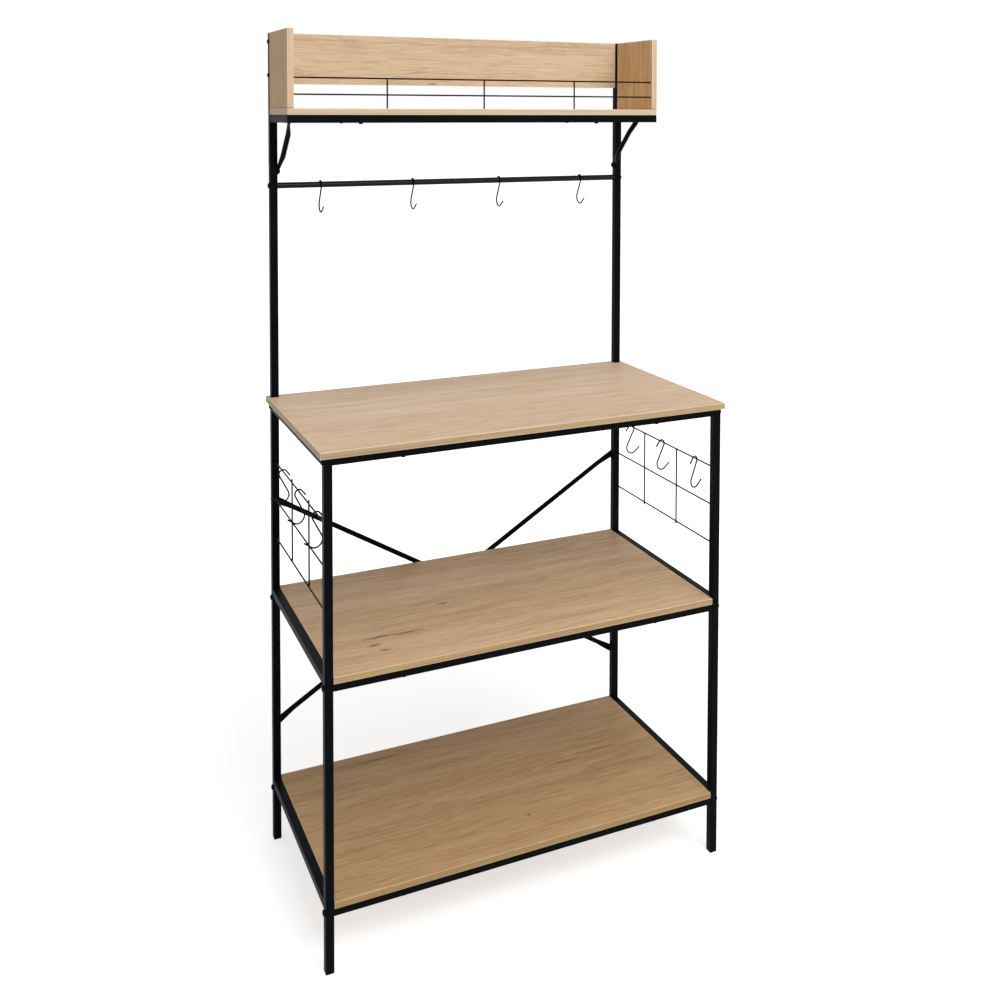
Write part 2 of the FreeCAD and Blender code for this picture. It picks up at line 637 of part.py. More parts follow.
def hook(label, bar_diameter, facing, x, y, bar_height):
    """A bent wire hook that hangs on a bar, turned so that its weight is under the bar's axis."""
    body = new_body(label)
    path = hook_path(body)
    section = body.newObject("Sketcher::SketchObject", "wire_section")
    section.AttachmentSupport = [(path, "Edge1")]
    section.MapMode = "NormalToEdge"
    circle(section, "Sizes.hook_wire")
    doc.recompute()
    bent_wire = body.newObject("PartDesign::AdditivePipe", "bent_wire")
    bent_wire.Profile = section
    bent_wire.Spine = path
    doc.recompute()
    ends = [face for face in bent_wire.Shape.Faces if face.Surface.TypeId == "Part::GeomPlane"]
    rims = [f"Edge{number}" for number, edge in enumerate(bent_wire.Shape.Edges, start=1)
            if any(edge.isSame(rim) for end in ends for rim in end.Edges)]
    dress(body, "Chamfer", bent_wire, rims, "Size", "Sizes.hook_end_chamfer")
    weight = body.Shape.Solids[0].CenterOfMass
    hang = Rotation(Vector(0, 1, 0), math.degrees(math.atan2(weight.x, -weight.z)))
    turn(body, Rotation(Vector(0, 0, 1), facing) * hang)
    drop = f"({HOOK_LOOP} - Sizes.hook_wire / 2 - {bar_diameter} / 2 - Sizes.hook_rest_gap)"
    place(body, x, y, f"{bar_height} - {drop}")
    return keep(label, body)


def make_hooks():
    """Four hooks on the rod, which open to the front, and three on each grid, which open outwards."""
    outermost = f"({INNER_X} - Sizes.rod_hook_margin)"
    for index in range(ROD_HOOK_COUNT):
        share = 2 * index / (ROD_HOOK_COUNT - 1) - 1
        hook(f"rod_hook_{index + 1}", "Sizes.rod_diameter", -90, f"{share} * {outermost}", REAR_Y, ROD_Z)
    sides = (("left", "-", 180, LEFT_HOOK_TURNS), ("right", "", 0, RIGHT_HOOK_TURNS))
    for hand, sign, outward, turns in sides:
        for index, angle in enumerate(turns):
            y = f"{MIDDLE_Y} + {1 - index} * Sizes.side_hook_pitch"
            hook(f"{hand}_hook_{index + 1}", "Sizes.grid_wire", outward + angle, sign + POST_X, y,
                 GRID_TOP)


# Braces with flattened ends

def brace_section(body, role, side, along, width, thickness, lift, inset):
    """A rounded section of a brace, from its mounting plane out, drawn in by an inset all round."""
    sketch = new_sketch(body, "section", role, along)
    flat = f"({thickness} - 2 * {inset})"
    wide = f"({width} - 2 * {inset})"
    half = GUESS / 2
    rim = half / 2
    centre = Vector(side * GUESS, 0)
    lines = []
    arcs = []
    for quarter in range(4):
        angle = quarter * math.pi / 2
        out = heading(angle)
        run = heading(angle + math.pi / 2)
        middle = centre + out * half
        lines.append(sketch.addGeometry(Part.LineSegment(middle - run * rim, middle + run * rim)))
        corner = Part.Circle(middle + run * rim - out * rim, Vector(0, 0, 1), rim)
        arcs.append(sketch.addGeometry(Part.ArcOfCircle(corner, angle, angle + math.pi / 2)))
    for quarter in range(4):
        sketch.addConstraint(Constraint("Tangent", lines[quarter], 2, arcs[quarter], 1))
        sketch.addConstraint(Constraint("Tangent", arcs[quarter], 2, lines[(quarter + 1) % 4], 1))
        direction = "Vertical" if quarter % 2 == 0 else "Horizontal"
        sketch.addConstraint(Constraint(direction, lines[quarter]))
        if quarter > 0:
            sketch.addConstraint(Constraint("Equal", arcs[0], arcs[quarter]))
    right, top, left, bottom = lines
    dimension(sketch, Constraint("Radius", arcs[0], rim), f"({flat} - Sizes.brace_seam) / 2")
    dimension(sketch, Constraint("DistanceX", left, 1, right, 1, GUESS), flat)
    dimension(sketch, Constraint("DistanceY", bottom, 1, top, 1, GUESS), wide)
    dimension(sketch, Constraint("DistanceY", -1, 1, top, 1, half), f"{wide} / 2")
    near = left if side > 0 else right
    if lift == "0" and inset == "0":
        sketch.addConstraint(Constraint("PointOnObject", near, 1, -2))
    elif side > 0:
        dimension(sketch, Constraint("DistanceX", -1, 1, near, 1, half), f"{lift} + {inset}")
    else:
        dimension(sketch, Constraint("DistanceX", near, 1, -1, 1, half), f"{lift} + {inset}")
    return sketch


def brace(label, role, drill_role, side, run, rise, cross_lift=None):
    """A tube pressed flat at both ends, and in the middle if it crosses another."""
    body = new_body(label)
    half = f"(sqrt({run} ^ 2 + {rise} ^ 2) / 2)"
    flat = (TAB, "Sizes.brace_tab_width")
    tube = ("Sizes.brace_diameter", "Sizes.brace_diameter")
    stations = [
        (f"({half} + Sizes.brace_nose_reach)", (TAB, "Sizes.brace_nose_width"), "0"),
        (f"({half} + Sizes.brace_nose_reach - Sizes.brace_nose_length)", flat, "0"),
        (f"({half} - Sizes.brace_tab_length)", flat, "0"),
        (f"({half} - Sizes.brace_tab_length - Sizes.brace_flare)", tube, "0"),
    ]
    if cross_lift is not None:
        stations.append(("(Sizes.brace_cross_flat + Sizes.brace_flare)", tube, "0"))
        stations.append(("Sizes.brace_cross_flat", flat, cross_lift))
    far = [("-" + along, section, lift) for along, section, lift in reversed(stations)]
    for kind, inset in (("AdditiveLoft", "0"), ("SubtractiveLoft", "Sizes.brace_wall")):
        sketches = [brace_section(body, role, side, along, section[1], section[0], lift, inset)
                    for along, section, lift in stations + far]
        doc.recompute()
        loft = body.newObject(f"PartDesign::{kind}", kind)
        loft.Profile = sketches[0]
        loft.Sections = sketches[1:]
        loft.Ruled = True
        doc.recompute()
    spots = [("-" + half, "0"), (half, "0")]
    if cross_lift is not None:
        spots.append(("0", "0"))
    drill(body, "bolt_holes", drill_role, spots, BOLT_HOLE)
    return keep(label, body)


def make_braces():
    """Two crossed braces on the rear posts, and a slanted one under each end of the tray."""
    for label, lift, sign in (("cross_brace_inner", "0", ""), ("cross_brace_outer", TAB, "-")):
        strut = brace(label, "YZ_Plane", "XZ_Plane", 1, CROSS_RUN, "Sizes.brace_rise", lift)
        turn(strut, Rotation(Vector(0, 1, 0), 1))
        strut.setExpression("Placement.Rotation.Angle", f"{sign}atan2(Sizes.brace_rise; {CROSS_RUN})")
        place(strut, "0", REAR_FACE_Y, CROSS_Z)
    for hand, sign, side in (("left", "-", 1), ("right", "", -1)):
        strut = brace(f"tray_brace_{hand}", "XZ_Plane", "YZ_Plane", side, "Sizes.tray_brace_reach",
                      "Sizes.tray_brace_drop")
        turn(strut, Rotation(Vector(1, 0, 0), -1))
        slope = "atan2(Sizes.tray_brace_drop; Sizes.tray_brace_reach)"
        strut.setExpression("Placement.Rotation.Angle", f"-{slope}")
        place(strut, sign + INNER_X, f"{REAR_Y} - Sizes.tray_brace_reach / 2", TRAY_BRACE_Z)


# Fasteners and plugs, each drawn once and copied to its places

TOWARDS = {
    "left": Rotation(Vector(0, 1, 0), -90),
    "right": Rotation(Vector(0, 1, 0), 90),
    "rear": Rotation(Vector(1, 0, 0), -90),
    "front": Rotation(Vector(1, 0, 0), 90),
    "up": Rotation(),
    "down": Rotation(Vector(1, 0, 0), 180),
}


def group(label, copies):
    """Copies of drawn pieces as one sub-part: each is a master, the way it faces and its place."""
    links = []
    for master, facing, spot in copies:
        link = doc.addObject("App::Link", f"{label}_copy")
        link.LinkedObject = master
        turn(link, TOWARDS[facing])
        links.append(place(link, *spot))
    piece = doc.addObject("Part::Compound", label)
    piece.Links = links
    return keep(label, piece)


def headed_pin(name, shank_diameter, shank_length, head_diameter, head_height, head_edge):
    """A bolt or screw: its head stands up from the origin and its shank runs down."""
    body = new_body(name)
    shank = new_sketch(body, "shank_section", "XY_Plane")
    circle(shank, shank_diameter)
    head = new_sketch(body, "head_section", "XY_Plane")
    circle(head, head_diameter)
    shank_pad = pad(body, "shank", shank, shank_length)
    shank_pad.Reversed = True
    head_pad = pad(body, "head", head, head_height)
    top = max(range(len(head_pad.Shape.Edges)), key=lambda index: head_pad.Shape.Edges[index].CenterOfMass.z)
    dress(body, "Chamfer", head_pad, [f"Edge{top + 1}"], "Size", head_edge)
    return body


def square_plug(name, plug_side, plug_length, flange_side=None, flange_height=None, flange_edge=None):
    """A square plug that runs down from the origin, with or without a flange above it."""
    body = new_body(name)
    plug = new_sketch(body, "plug_section", "XY_Plane")
    rectangle(plug, plug_side, plug_side)
    plug_pad = pad(body, "plug", plug, plug_length)
    plug_pad.Reversed = True
    if flange_side:
        flange = new_sketch(body, "flange_section", "XY_Plane")
        rectangle(flange, flange_side, flange_side)
        flange_pad = pad(body, "flange", flange, flange_height)
        upright = edges_along(flange_pad.Shape, Vector(0, 0, 1), 4)
        dress(body, "Fillet", flange_pad, upright, "Radius", "Sizes.tube_corner")
        rounded = body.Tip
        top = max(vertex.Z for vertex in rounded.Shape.Vertexes)
        rim = [f"Edge{number}" for number, edge in enumerate(rounded.Shape.Edges, start=1)
               if min(vertex.Z for vertex in edge.Vertexes) > top - 1e-6]
        dress(body, "Chamfer", rounded, rim, "Size", flange_edge)
    doc.recompute()
    return body


def threaded(body):
    """Bore a plug right through for a bolt."""
    drill(body, "thread", "XY_Plane", [("0", "0")], TAPPED_HOLE)
    return body


POST_SPOTS = [(sign + POST_X, y) for y in (FRONT_Y, REAR_Y) for sign in ("-", "")]


def make_feet_and_caps():
    """A plug foot under each post, and caps on the upper posts and on the tray's long rails.

    The rail caps have a short lip, which ends before the bolts that hold the rear rail.
    """
    plug_side = f"{POST_BORE} - 2 * Sizes.plug_gap"
    foot = square_plug("foot_master", plug_side, "Sizes.foot_plug_length", "Sizes.post_side",
                       "Sizes.foot_height", "Sizes.foot_edge")
    group("post_feet", [(foot, "down", (x, y, "Sizes.foot_height")) for x, y in POST_SPOTS])
    cap = square_plug("cap_master", plug_side, "Sizes.cap_plug_length", "Sizes.post_side",
                      "Sizes.cap_height", "Sizes.cap_edge")
    rail_end = f"({OUTER_X} - Sizes.cap_height)"
    lip = f"{rail_end} - {POST_X} - {TAPPED_HOLE} / 2 - Sizes.recess_gap"
    rail_cap = square_plug("rail_cap_master", plug_side, lip, "Sizes.post_side", "Sizes.cap_height",
                           "Sizes.cap_edge")
    copies = []
    for facing, sign in (("left", "-"), ("right", "")):
        copies.append((cap, "up", (sign + POST_X, REAR_Y, "Sizes.rack_height")))
        for y in (TRAY_FRONT_RAIL_Y, TRAY_REAR_RAIL_Y):
            copies.append((rail_cap, facing, (sign + rail_end, y, TRAY_RAIL_Z)))
    group("tube_caps", copies)


def make_frame_bolts():
    """Bolts through the posts into the long rails, the rod and the tray, and the inserts they pull on."""
    bolt = headed_pin("frame_bolt_master", "Sizes.bolt_diameter", BOLT_LENGTH, "Sizes.bolt_head_diameter",
                      "Sizes.bolt_head_height", "Sizes.bolt_head_edge")
    tray_bolt = headed_pin("tray_bolt_master", "Sizes.bolt_diameter", TRAY_BOLT_LENGTH,
                           "Sizes.bolt_head_diameter", "Sizes.bolt_head_height", "Sizes.bolt_head_edge")
    insert = threaded(square_plug("insert_master", f"{RAIL_BORE} - 2 * Sizes.plug_gap",
                                  "Sizes.insert_length"))
    plug = threaded(square_plug("post_plug_master", f"{POST_BORE} - 2 * Sizes.plug_gap",
                                "Sizes.post_plug_length"))
    rod_insert = new_body("rod_insert_master")
    section = new_sketch(rod_insert, "section", "XY_Plane")
    circle(section, f"{ROD_BORE} - 2 * Sizes.plug_gap")
    circle(section, TAPPED_HOLE)
    pad(rod_insert, "sleeve", section, "Sizes.insert_length").Reversed = True
    bolts = []
    inserts = []
    rod_inserts = []
    plugs = []
    recess_floor = f"{WORKTOP_UNDER} + {HEAD_RECESS}"
    for facing, sign in (("left", "-"), ("right", "")):
        for y in (FRONT_Y, REAR_Y):
            for level in LEVELS:
                z = long_rail_height(level)
                bolts.append((bolt, facing, (sign + OUTER_X, y, z)))
                inserts.append((insert, facing, (sign + INNER_X, y, z)))
        bolts.append((bolt, facing, (sign + OUTER_X, REAR_Y, ROD_Z)))
        rod_inserts.append((rod_insert, facing, (sign + INNER_X, REAR_Y, ROD_Z)))
        bolts.append((tray_bolt, "rear", (sign + POST_X, REAR_FACE_Y, TRAY_RAIL_Z)))
        bolts.append((bolt, "down", (sign + POST_X, REAR_Y, recess_floor)))
        plugs.append((plug, "down", (sign + POST_X, REAR_Y, WORKTOP_TOP)))
    group("frame_bolts", bolts)
    group("rail_inserts", inserts)
    group("rod_inserts", rod_inserts)
    group("upper_post_plugs", plugs)


def make_brace_bolts():
    """Bolts through the braces' flats, and the nut behind their crossing."""
    bolt = headed_pin("brace_bolt_master", "Sizes.bolt_diameter", "Sizes.brace_bolt_length",
                      "Sizes.bolt_head_diameter", "Sizes.bolt_head_height", "Sizes.bolt_head_edge")
    tab_rear = f"{REAR_FACE_Y} + {TAB}"
    copies = [(bolt, "rear", ("0", f"{tab_rear} + {TAB}", CROSS_Z))]
    tray_x = f"({INNER_X} - {TAB})"
    for facing, sign in (("right", "-"), ("left", "")):
        for height in (BRACE_TOP, BRACE_BOTTOM):
            copies.append((bolt, "rear", (sign + POST_X, tab_rear, height)))
        copies.append((bolt, facing, (sign + tray_x, REAR_Y, TRAY_BRACE_FOOT)))
        head_y = f"{REAR_Y} - Sizes.tray_brace_reach"
        copies.append((bolt, facing, (sign + tray_x, head_y, TRAY_RAIL_Z)))
    group("brace_bolts", copies)
    blank = doc.addObject("Part::Prism", "nut_blank")
    blank.Polygon = 6
    blank.setExpression("Circumradius", "Sizes.nut_width / sqrt(3)")
    blank.setExpression("Height", "Sizes.nut_height")
    bore = doc.addObject("Part::Cylinder", "nut_bore")
    bore.setExpression("Radius", f"{TAPPED_HOLE} / 2")
    bore.setExpression("Height", "Sizes.nut_height")
    nut = doc.addObject("Part::Cut", "brace_nut")
    nut.Base = blank
    nut.Tool = bore
    turn(nut, TOWARDS["front"])
    place(keep("brace_nut", nut), "0", REAR_FACE_Y, CROSS_Z)


def make_screws():
    """Screws up through the rails into the boards, and through the upper posts into the back panel."""
    head = ("Sizes.screw_head_diameter", "Sizes.screw_head_height", "Sizes.screw_head_edge")
    shelf_screw = headed_pin("shelf_screw_master", "Sizes.screw_diameter", SHELF_SCREW_LENGTH, *head)
    panel_screw = headed_pin("panel_screw_master", "Sizes.screw_diameter", "Sizes.panel_screw_length", *head)
    copies = []
    for sign in ("-", ""):
        x = sign + "Sizes.shelf_screw_offset"
        for level in LEVELS:
            under_rail = f"{long_rail_height(level)} - Sizes.long_rail_side / 2"
            for y in (FRONT_Y, REAR_Y):
                copies.append((shelf_screw, "down", (x, y, under_rail)))
        for y in (TRAY_FRONT_RAIL_Y, TRAY_REAR_RAIL_Y):
            copies.append((shelf_screw, "down", (x, y, f"{TRAY_RAIL_Z} - Sizes.post_side / 2")))
    group("shelf_screws", copies)
    group("back_panel_screws", [(panel_screw, facing, (sign + OUTER_X, BACK_PANEL_Y, height))
                                for facing, sign in (("left", "-"), ("right", ""))
                                for height in panel_screw_heights()])


def make_dowels():
    """Wooden dowels between the tray's board and its side panels."""
    body = new_body("dowel_master")
    section = new_sketch(body, "section", "XY_Plane")
    circle(section, "Sizes.dowel_diameter")
    pad(body, "dowel", section, "Sizes.dowel_in_board + Sizes.dowel_in_panel")
    dowel_y = "(Sizes.tray_depth / 2 - Sizes.dowel_inset)"
    bottom = f"{TRAY_TOP} - Sizes.dowel_in_board"
    group("panel_dowels", [(body, "up", (sign + PANEL_X, f"{TRAY_MIDDLE_Y} {way} {dowel_y}", bottom))
                           for sign in ("-", "") for way in ("-", "+")])


make_posts()
make_rails()
make_tray_rails()
make_shelves()
make_tray_boards()
make_rod()
make_grids()
make_gallery()
make_braces()
make_hooks()
make_feet_and_caps()
make_frame_bolts()
make_brace_bolts()
make_screws()
make_dowels()
doc.recompute()

for item in doc.Objects:
    if "Invalid" in item.State or "Error" in item.State:
        raise RuntimeError(f"{item.Label} failed: {item.State}")
for label, piece in nodes.items():
    if piece.Shape.isNull() or not piece.Shape.isValid():
        raise RuntimeError(f"{label} has no valid shape")

os.makedirs("parts", exist_ok=True)
for label, piece in nodes.items():
    piece.Shape.exportStep(f"parts/{label}.step")
print(f"{len(nodes)} sub-parts, {sum(len(piece.Shape.Solids) for piece in nodes.values())} solids")
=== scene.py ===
"""Looks for a kitchen rack: laminate boards on a black tube frame, with wire grids and bent hooks."""
import math
from collections import namedtuple

import bmesh
import bpy
from bpy.props import FloatProperty, FloatVectorProperty, IntProperty, PointerProperty
from mathutils import Euler, Matrix, Vector


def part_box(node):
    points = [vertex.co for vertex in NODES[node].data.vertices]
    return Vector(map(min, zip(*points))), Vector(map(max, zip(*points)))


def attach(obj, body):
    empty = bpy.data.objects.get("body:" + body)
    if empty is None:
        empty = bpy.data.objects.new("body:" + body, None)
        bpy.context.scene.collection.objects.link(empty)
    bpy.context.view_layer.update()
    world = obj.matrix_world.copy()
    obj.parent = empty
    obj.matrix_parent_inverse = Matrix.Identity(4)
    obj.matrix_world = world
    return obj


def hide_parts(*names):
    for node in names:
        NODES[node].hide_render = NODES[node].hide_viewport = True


bl_info = {
    "name": "Kitchen rack looks",
    "version": (1, 0, 0),
    "blender": (4, 5, 0),
    "location": "3D View > Sidebar > Rack",
    "description": "Dresses the solids of a kitchen rack in laminate, black coat and real fasteners",
    "category": "Object",
}

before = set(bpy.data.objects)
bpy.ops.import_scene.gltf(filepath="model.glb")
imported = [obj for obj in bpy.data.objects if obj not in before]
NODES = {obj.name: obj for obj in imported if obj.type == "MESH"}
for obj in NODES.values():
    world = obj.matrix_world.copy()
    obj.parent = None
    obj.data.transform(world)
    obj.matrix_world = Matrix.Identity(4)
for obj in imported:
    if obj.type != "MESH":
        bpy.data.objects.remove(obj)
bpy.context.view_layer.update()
FRAME_BODY = "frame"

# Lengths in the frame are metres
MM = 0.001
MERGE_DISTANCE = 1e-6
SHARP_ANGLE = math.radians(35)
QUARTER_TURN = math.radians(90)
WHITE = (1.0, 1.0, 1.0)
BLACK = (0.0, 0.0, 0.0)

# Sockets of a Mix node that mixes colours
MIX_MASK = 0
MIX_FIRST = 6
MIX_SECOND = 7
MIX_RESULT = 2

# How a board lies: the turn that lays its grain along X, and the axis across its broad faces
Lay = namedtuple("Lay", "turn face_axis")
LYING = Lay((0.0, 0.0, 0.0), (0, 0, 1))
STANDING = Lay((QUARTER_TURN, 0.0, 0.0), (0, 1, 0))
UPRIGHT = Lay((0.0, QUARTER_TURN, 0.0), (1, 0, 0))

# A board's wood print: where it starts, its tint, its figure's strength, and how pale its edge band is,
# from 0 for the edge setting to 1 for pale wood. The tint is partly the board's own print colour and
# partly painted shade and bounce light, which make the lower shelves and the tray's end panels darker and
# warmer
Board = namedtuple("Board", "lay start tint figure edge_match")
BOARDS = {
    "worktop": Board(LYING, (0.31, 0.42, 0.0), (0.99, 0.98, 0.97), 0.90, 0.0),
    "mid_shelf": Board(LYING, (1.73, 1.16, 0.0), (1.05, 0.97, 0.85), 1.20, 0.0),
    "bottom_shelf": Board(LYING, (3.35, 2.27, 0.0), (0.89, 0.77, 0.56), 1.25, 0.0),
    "tray_board": Board(LYING, (4.62, 3.08, 0.0), (1.00, 0.99, 0.97), 1.00, 0.85),
    "back_panel": Board(STANDING, (6.11, 4.37, 0.0), (0.98, 0.98, 0.97), 1.05, 0.85),
    "tray_left_panel": Board(UPRIGHT, (7.29, 5.54, 0.0), (1.02, 0.86, 0.62), 1.20, 0.90),
    "tray_right_panel": Board(UPRIGHT, (8.83, 6.71, 0.0), (1.12, 0.96, 0.70), 1.45, 0.90),
}
SEATED_BOARDS = ("tray_left_panel", "tray_right_panel")

# A dark mark: its middle along and across the grain, half length, half width, and how dark
Mark = namedtuple("Mark", "along across half_length half_width dark")
MARKS = {
    "worktop": (
        Mark(-0.253, 0.116, 0.055, 0.0040, 0.45),
        Mark(0.105, -0.060, 0.085, 0.0030, 0.25),
        Mark(0.262, 0.052, 0.050, 0.0030, 0.22),
    ),
    "mid_shelf": (
        Mark(-0.281, -0.124, 0.018, 0.0065, 0.85),
        Mark(-0.268, -0.147, 0.011, 0.0050, 0.85),
        Mark(-0.109, -0.011, 0.014, 0.0050, 0.75),
        Mark(-0.262, -0.096, 0.042, 0.0052, 0.95),
        Mark(-0.212, -0.099, 0.042, 0.0050, 0.90),
        Mark(0.204, 0.137, 0.060, 0.0060, 0.55),
        Mark(0.330, 0.150, 0.035, 0.0050, 0.45),
    ),
    "bottom_shelf": (
        Mark(-0.181, 0.170, 0.075, 0.0055, 0.55),
        Mark(0.167, 0.005, 0.035, 0.0045, 0.50),
        Mark(0.240, 0.020, 0.060, 0.0050, 0.40),
        Mark(0.023, -0.125, 0.006, 0.0035, 0.80),
    ),
    "back_panel": (
        Mark(-0.056, 1.511, 0.012, 0.0040, 0.60),
    ),
}

# Noise: cells per metre along each axis, octaves, and how strong the fine octaves are
Noise = namedtuple("Noise", "scale detail roughness", defaults=(2.0, 0.5))

# Noises of the wood print, along the grain and twice across it
SLOW_SWAY = Noise((2.1, 6.0, 6.0))
QUICK_SWAY = Noise((14.0, 60.0, 60.0))
RING_SHIFT = Noise((0.9, 7.0, 7.0))
DRIFT = Noise((1.3, 5.0, 5.0))
BROAD = Noise((1.5, 30.0, 30.0), 3.0, 0.55)
STREAK = Noise((4.5, 185.0, 185.0), 4.0, 0.65)
DASH = Noise((20.0, 310.0, 310.0), 3.0, 0.6)
WISP = Noise((14.0, 270.0, 290.0), 3.0)
FLECK = Noise((8.0, 260.0, 280.0), 1.0)
FIBRE = Noise((60.0, 1500.0, 1500.0))
PORE = Noise((95.0, 2300.0, 2300.0), 1.0)
MARK_WOBBLE = Noise((60.0, 240.0, 240.0))

# A layer of colour: where its noise starts to show, where it is full, and its share then
Layer = namedtuple("Layer", "low high share")
BANDS = Layer(0.38, 0.66, 0.70)
ARCHES = Layer(0.36, 0.60, 0.30)
STREAKS = Layer(0.47, 0.76, 0.62)
DASHES = Layer(0.50, 0.70, 0.62)
WISPS = Layer(0.50, 0.72, 0.62)
FLECKS = Layer(0.69, 0.80, 0.50)
FIBRES = Layer(0.50, 0.80, 0.20)
EDGE_FIBRES = Layer(0.45, 0.75, 0.20)
PORE_SHARE = 0.30

# Where a noise or another measure goes from nothing to full
GROUND_SPAN = (0.35, 0.65)
PORE_SPAN = (0.60, 0.76)
DASH_PLACES = (0.34, 0.58)
BROAD_FACE_SPAN = (0.75, 0.97)
EDGE_LAYER_SPAN = (0.46, 0.60)
MARK_SPAN = (1.15, 0.10)

# Sway of the grain in metres and of a mark's outline in half sizes, and the year rings
SLOW_SWAY_REACH = 0.032
QUICK_SWAY_REACH = 0.004
MARK_WOBBLE_REACH = 1.3
RINGS_PER_METRE = 70.0
RING_SHIFT_COUNT = 16.0

# Edge band: layers per metre across and along it, their strength, and its loss on pale wood
EDGE_LAYERS_ACROSS = 240.0
EDGE_LAYERS_ALONG = 2.5
EDGE_LAYER_SHARE = 0.72
EDGE_LAYER_LOSS = 0.45

# Arris line, partly the edge band's paler trim and partly painted highlight: how much paler than its
# board, the share of its width that is full, and its breaks
ARRIS_PALER = 0.35
ARRIS_FULL = 0.45
ARRIS_GAIN = 1.3
ARRIS_BREAK = 0.10

# Dark band under a panel, partly its joint with the tray board and partly painted shade in the crease:
# the share of its height that is full, and how dark
SEAM_FULL = 0.4
SEAM_DARK = 0.75

# The foil's uneven gloss and its pressed relief
STREAK_GLOSS = 0.18
FIBRE_GLOSS = 0.10
PORE_GLOSS = 0.10
FIBRE_RELIEF = 0.35
DASH_RELIEF = 0.25
FOIL_BUMP = 0.40
FOIL_SPECULAR = 0.32

# A black coat: its colour setting, its share of the sheen setting, roughness and orange peel
Coat = namedtuple("Coat", "shade shine roughness peel")
COATS = {
    "tube_coat": Coat("steel", 1.0, 0.46, 0.06 * MM),
    "rod_coat": Coat("steel", 5.0, 0.30, 0.01 * MM),
    "bead_coat": Coat("steel", 1.0, 0.44, 0.08 * MM),
    "wire_coat": Coat("wire", 1.0, 0.42, 0.04 * MM),
    "joint_coat": Coat("wire", 1.0, 0.42, 0.04 * MM),
    "hook_coat": Coat("hook", 1.3, 0.34, 0.03 * MM),
    "bolt_black": Coat("fastener", 1.5, 0.36, 0.02 * MM),
    "nut_black": Coat("fastener", 1.5, 0.36, 0.02 * MM),
    "screw_black": Coat("fastener", 1.4, 0.40, 0.02 * MM),
    "cap_plastic": Coat("plastic", 1.0, 0.52, 0.08 * MM),
}
MOTTLE = Noise((14.0, 14.0, 14.0), 3.0)
GRIT = Noise((1400.0, 1400.0, 1400.0))
MOTTLE_SHARE = 0.7
GRIT_SHARE = 0.3
MOTTLE_SPAN = (0.35, 0.72)
MOTTLE_LIGHTER = 1.7
MOTTLE_GLOSS = 0.12
GRIT_GLOSS = 0.10
GRIT_BUMP = 0.5

# Zinc plate
ZINC_BLOOM = Noise((220.0, 220.0, 220.0), 3.0)
ZINC_TURNING = Noise((3000.0, 500.0, 500.0))
ZINC_SPAN = (0.35, 0.7)
ZINC_DARKER = 0.72
ZINC_ROUGHNESS = 0.34
ZINC_GLOSS = 0.25
ZINC_GROOVE = 0.05 * MM

# Beech dowels
BEECH_FLECK = Noise((160.0, 900.0, 900.0), 3.0)
BEECH_SPAN = (0.4, 0.72)
BEECH_DARKER = 0.68
BEECH_ROUGHNESS = 0.62
BEECH_GLOSS = 0.2
BEECH_GROOVE = 0.1 * MM
SMALL_PART_BUMP = 0.4

# Heads: steps of a dome, the share of the radius where the rim starts, and the rim's share of the height.
# A flat top's radius is a share of a bolt's key width or of a screw head's radius
DOME_STEPS = 5
RIM_SHARE = 0.95
BOLT_RIM = 0.36
SCREW_RIM = 0.33
BOLT_FLAT = 0.76
SCREW_FLAT = 0.68

# Sockets: their lip, their floor as a share of their mouth, and a cross slot's arms
SOCKET_LIP = 0.2 * MM
KEY_FLOOR = 1.0
CROSS_FLOOR = 0.45
CROSS_ARM_ANGLE = math.radians(15)
CROSS_TIP_ANGLE = math.radians(16)

# Shanks: a long bolt is threaded over its last part only, a short one from near its head
LONG_BOLT = 20.0 * MM
LONG_BOLT_THREAD = 12.0 * MM
SHORT_BOLT_PLAIN = 3.0 * MM
BOLT_TOOTH = 0.45 * MM
BOLT_TIP = 0.8 * MM
BOLT_TAPER = 1.0 * MM
SCREW_PLAIN = 4.0 * MM
SCREW_TOOTH = 0.5 * MM
SCREW_TIP_RADIUS = 0.3 * MM
SCREW_TAPER = 3.5 * MM

# Nut: its face and its bore's radius as shares of its width, and a chamfer as one of its height
NUT_SIDES = 24
NUT_FACE = 0.95
NUT_BORE = 0.29
NUT_CHAMFER = 0.10

# Weld beads: start and crest as shares of the radius, a valley of a crest, and the end of a valley
BEAD_SIDES = 10
BEAD_START = 0.55
BEAD_CREST = 0.95
BEAD_VALLEY = 0.82
BEAD_END = 0.6
FEWEST_RIPPLES = 3

# Wire welds: their sides, and how many uprights a side grid's runs cross
WIRE_WELD_SIDES = 14
GRID_UPRIGHTS = 2

# A soft box's place and size. Both boxes point at the rack's middle
SoftBox = namedtuple("SoftBox", "place width height")
FRONT_BOX = SoftBox((0.5, -2.4, 2.9), 2.2, 1.2)
TOP_BOX = SoftBox((0.0, -0.8, 3.3), 2.0, 2.0)
LIGHT_AIM = (0.0, 0.0, 0.8)

# Floor and camera
FLOOR_SHADE = (0.80, 0.80, 0.80)
FLOOR_ROUGHNESS = 0.9
SENSOR_WIDTH = 36.0


def nodes_in_slot(slot):
    """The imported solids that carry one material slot, in name order."""
    return [node for name, node in sorted(NODES.items()) if node.data.materials[0].name == slot]


SLOTS = {name: nodes_in_slot(name) for name in (
    "black_steel", "black_wire", "hook_wire", "oak_board", "zinc_insert", "black_plastic", "beech_dowel",
)}


def colour_setting(red, green, blue, name, description):
    """A colour in the panel of settings."""
    return FloatVectorProperty(
        name=name, description=description, subtype="COLOR", size=3, min=0.0, max=1.0,
        default=(red, green, blue),
    )


def share_setting(default, name, description):
    """A number from 0 to 1."""
    return FloatProperty(
        name=name, description=description, subtype="FACTOR", min=0.0, max=1.0, default=default,
    )


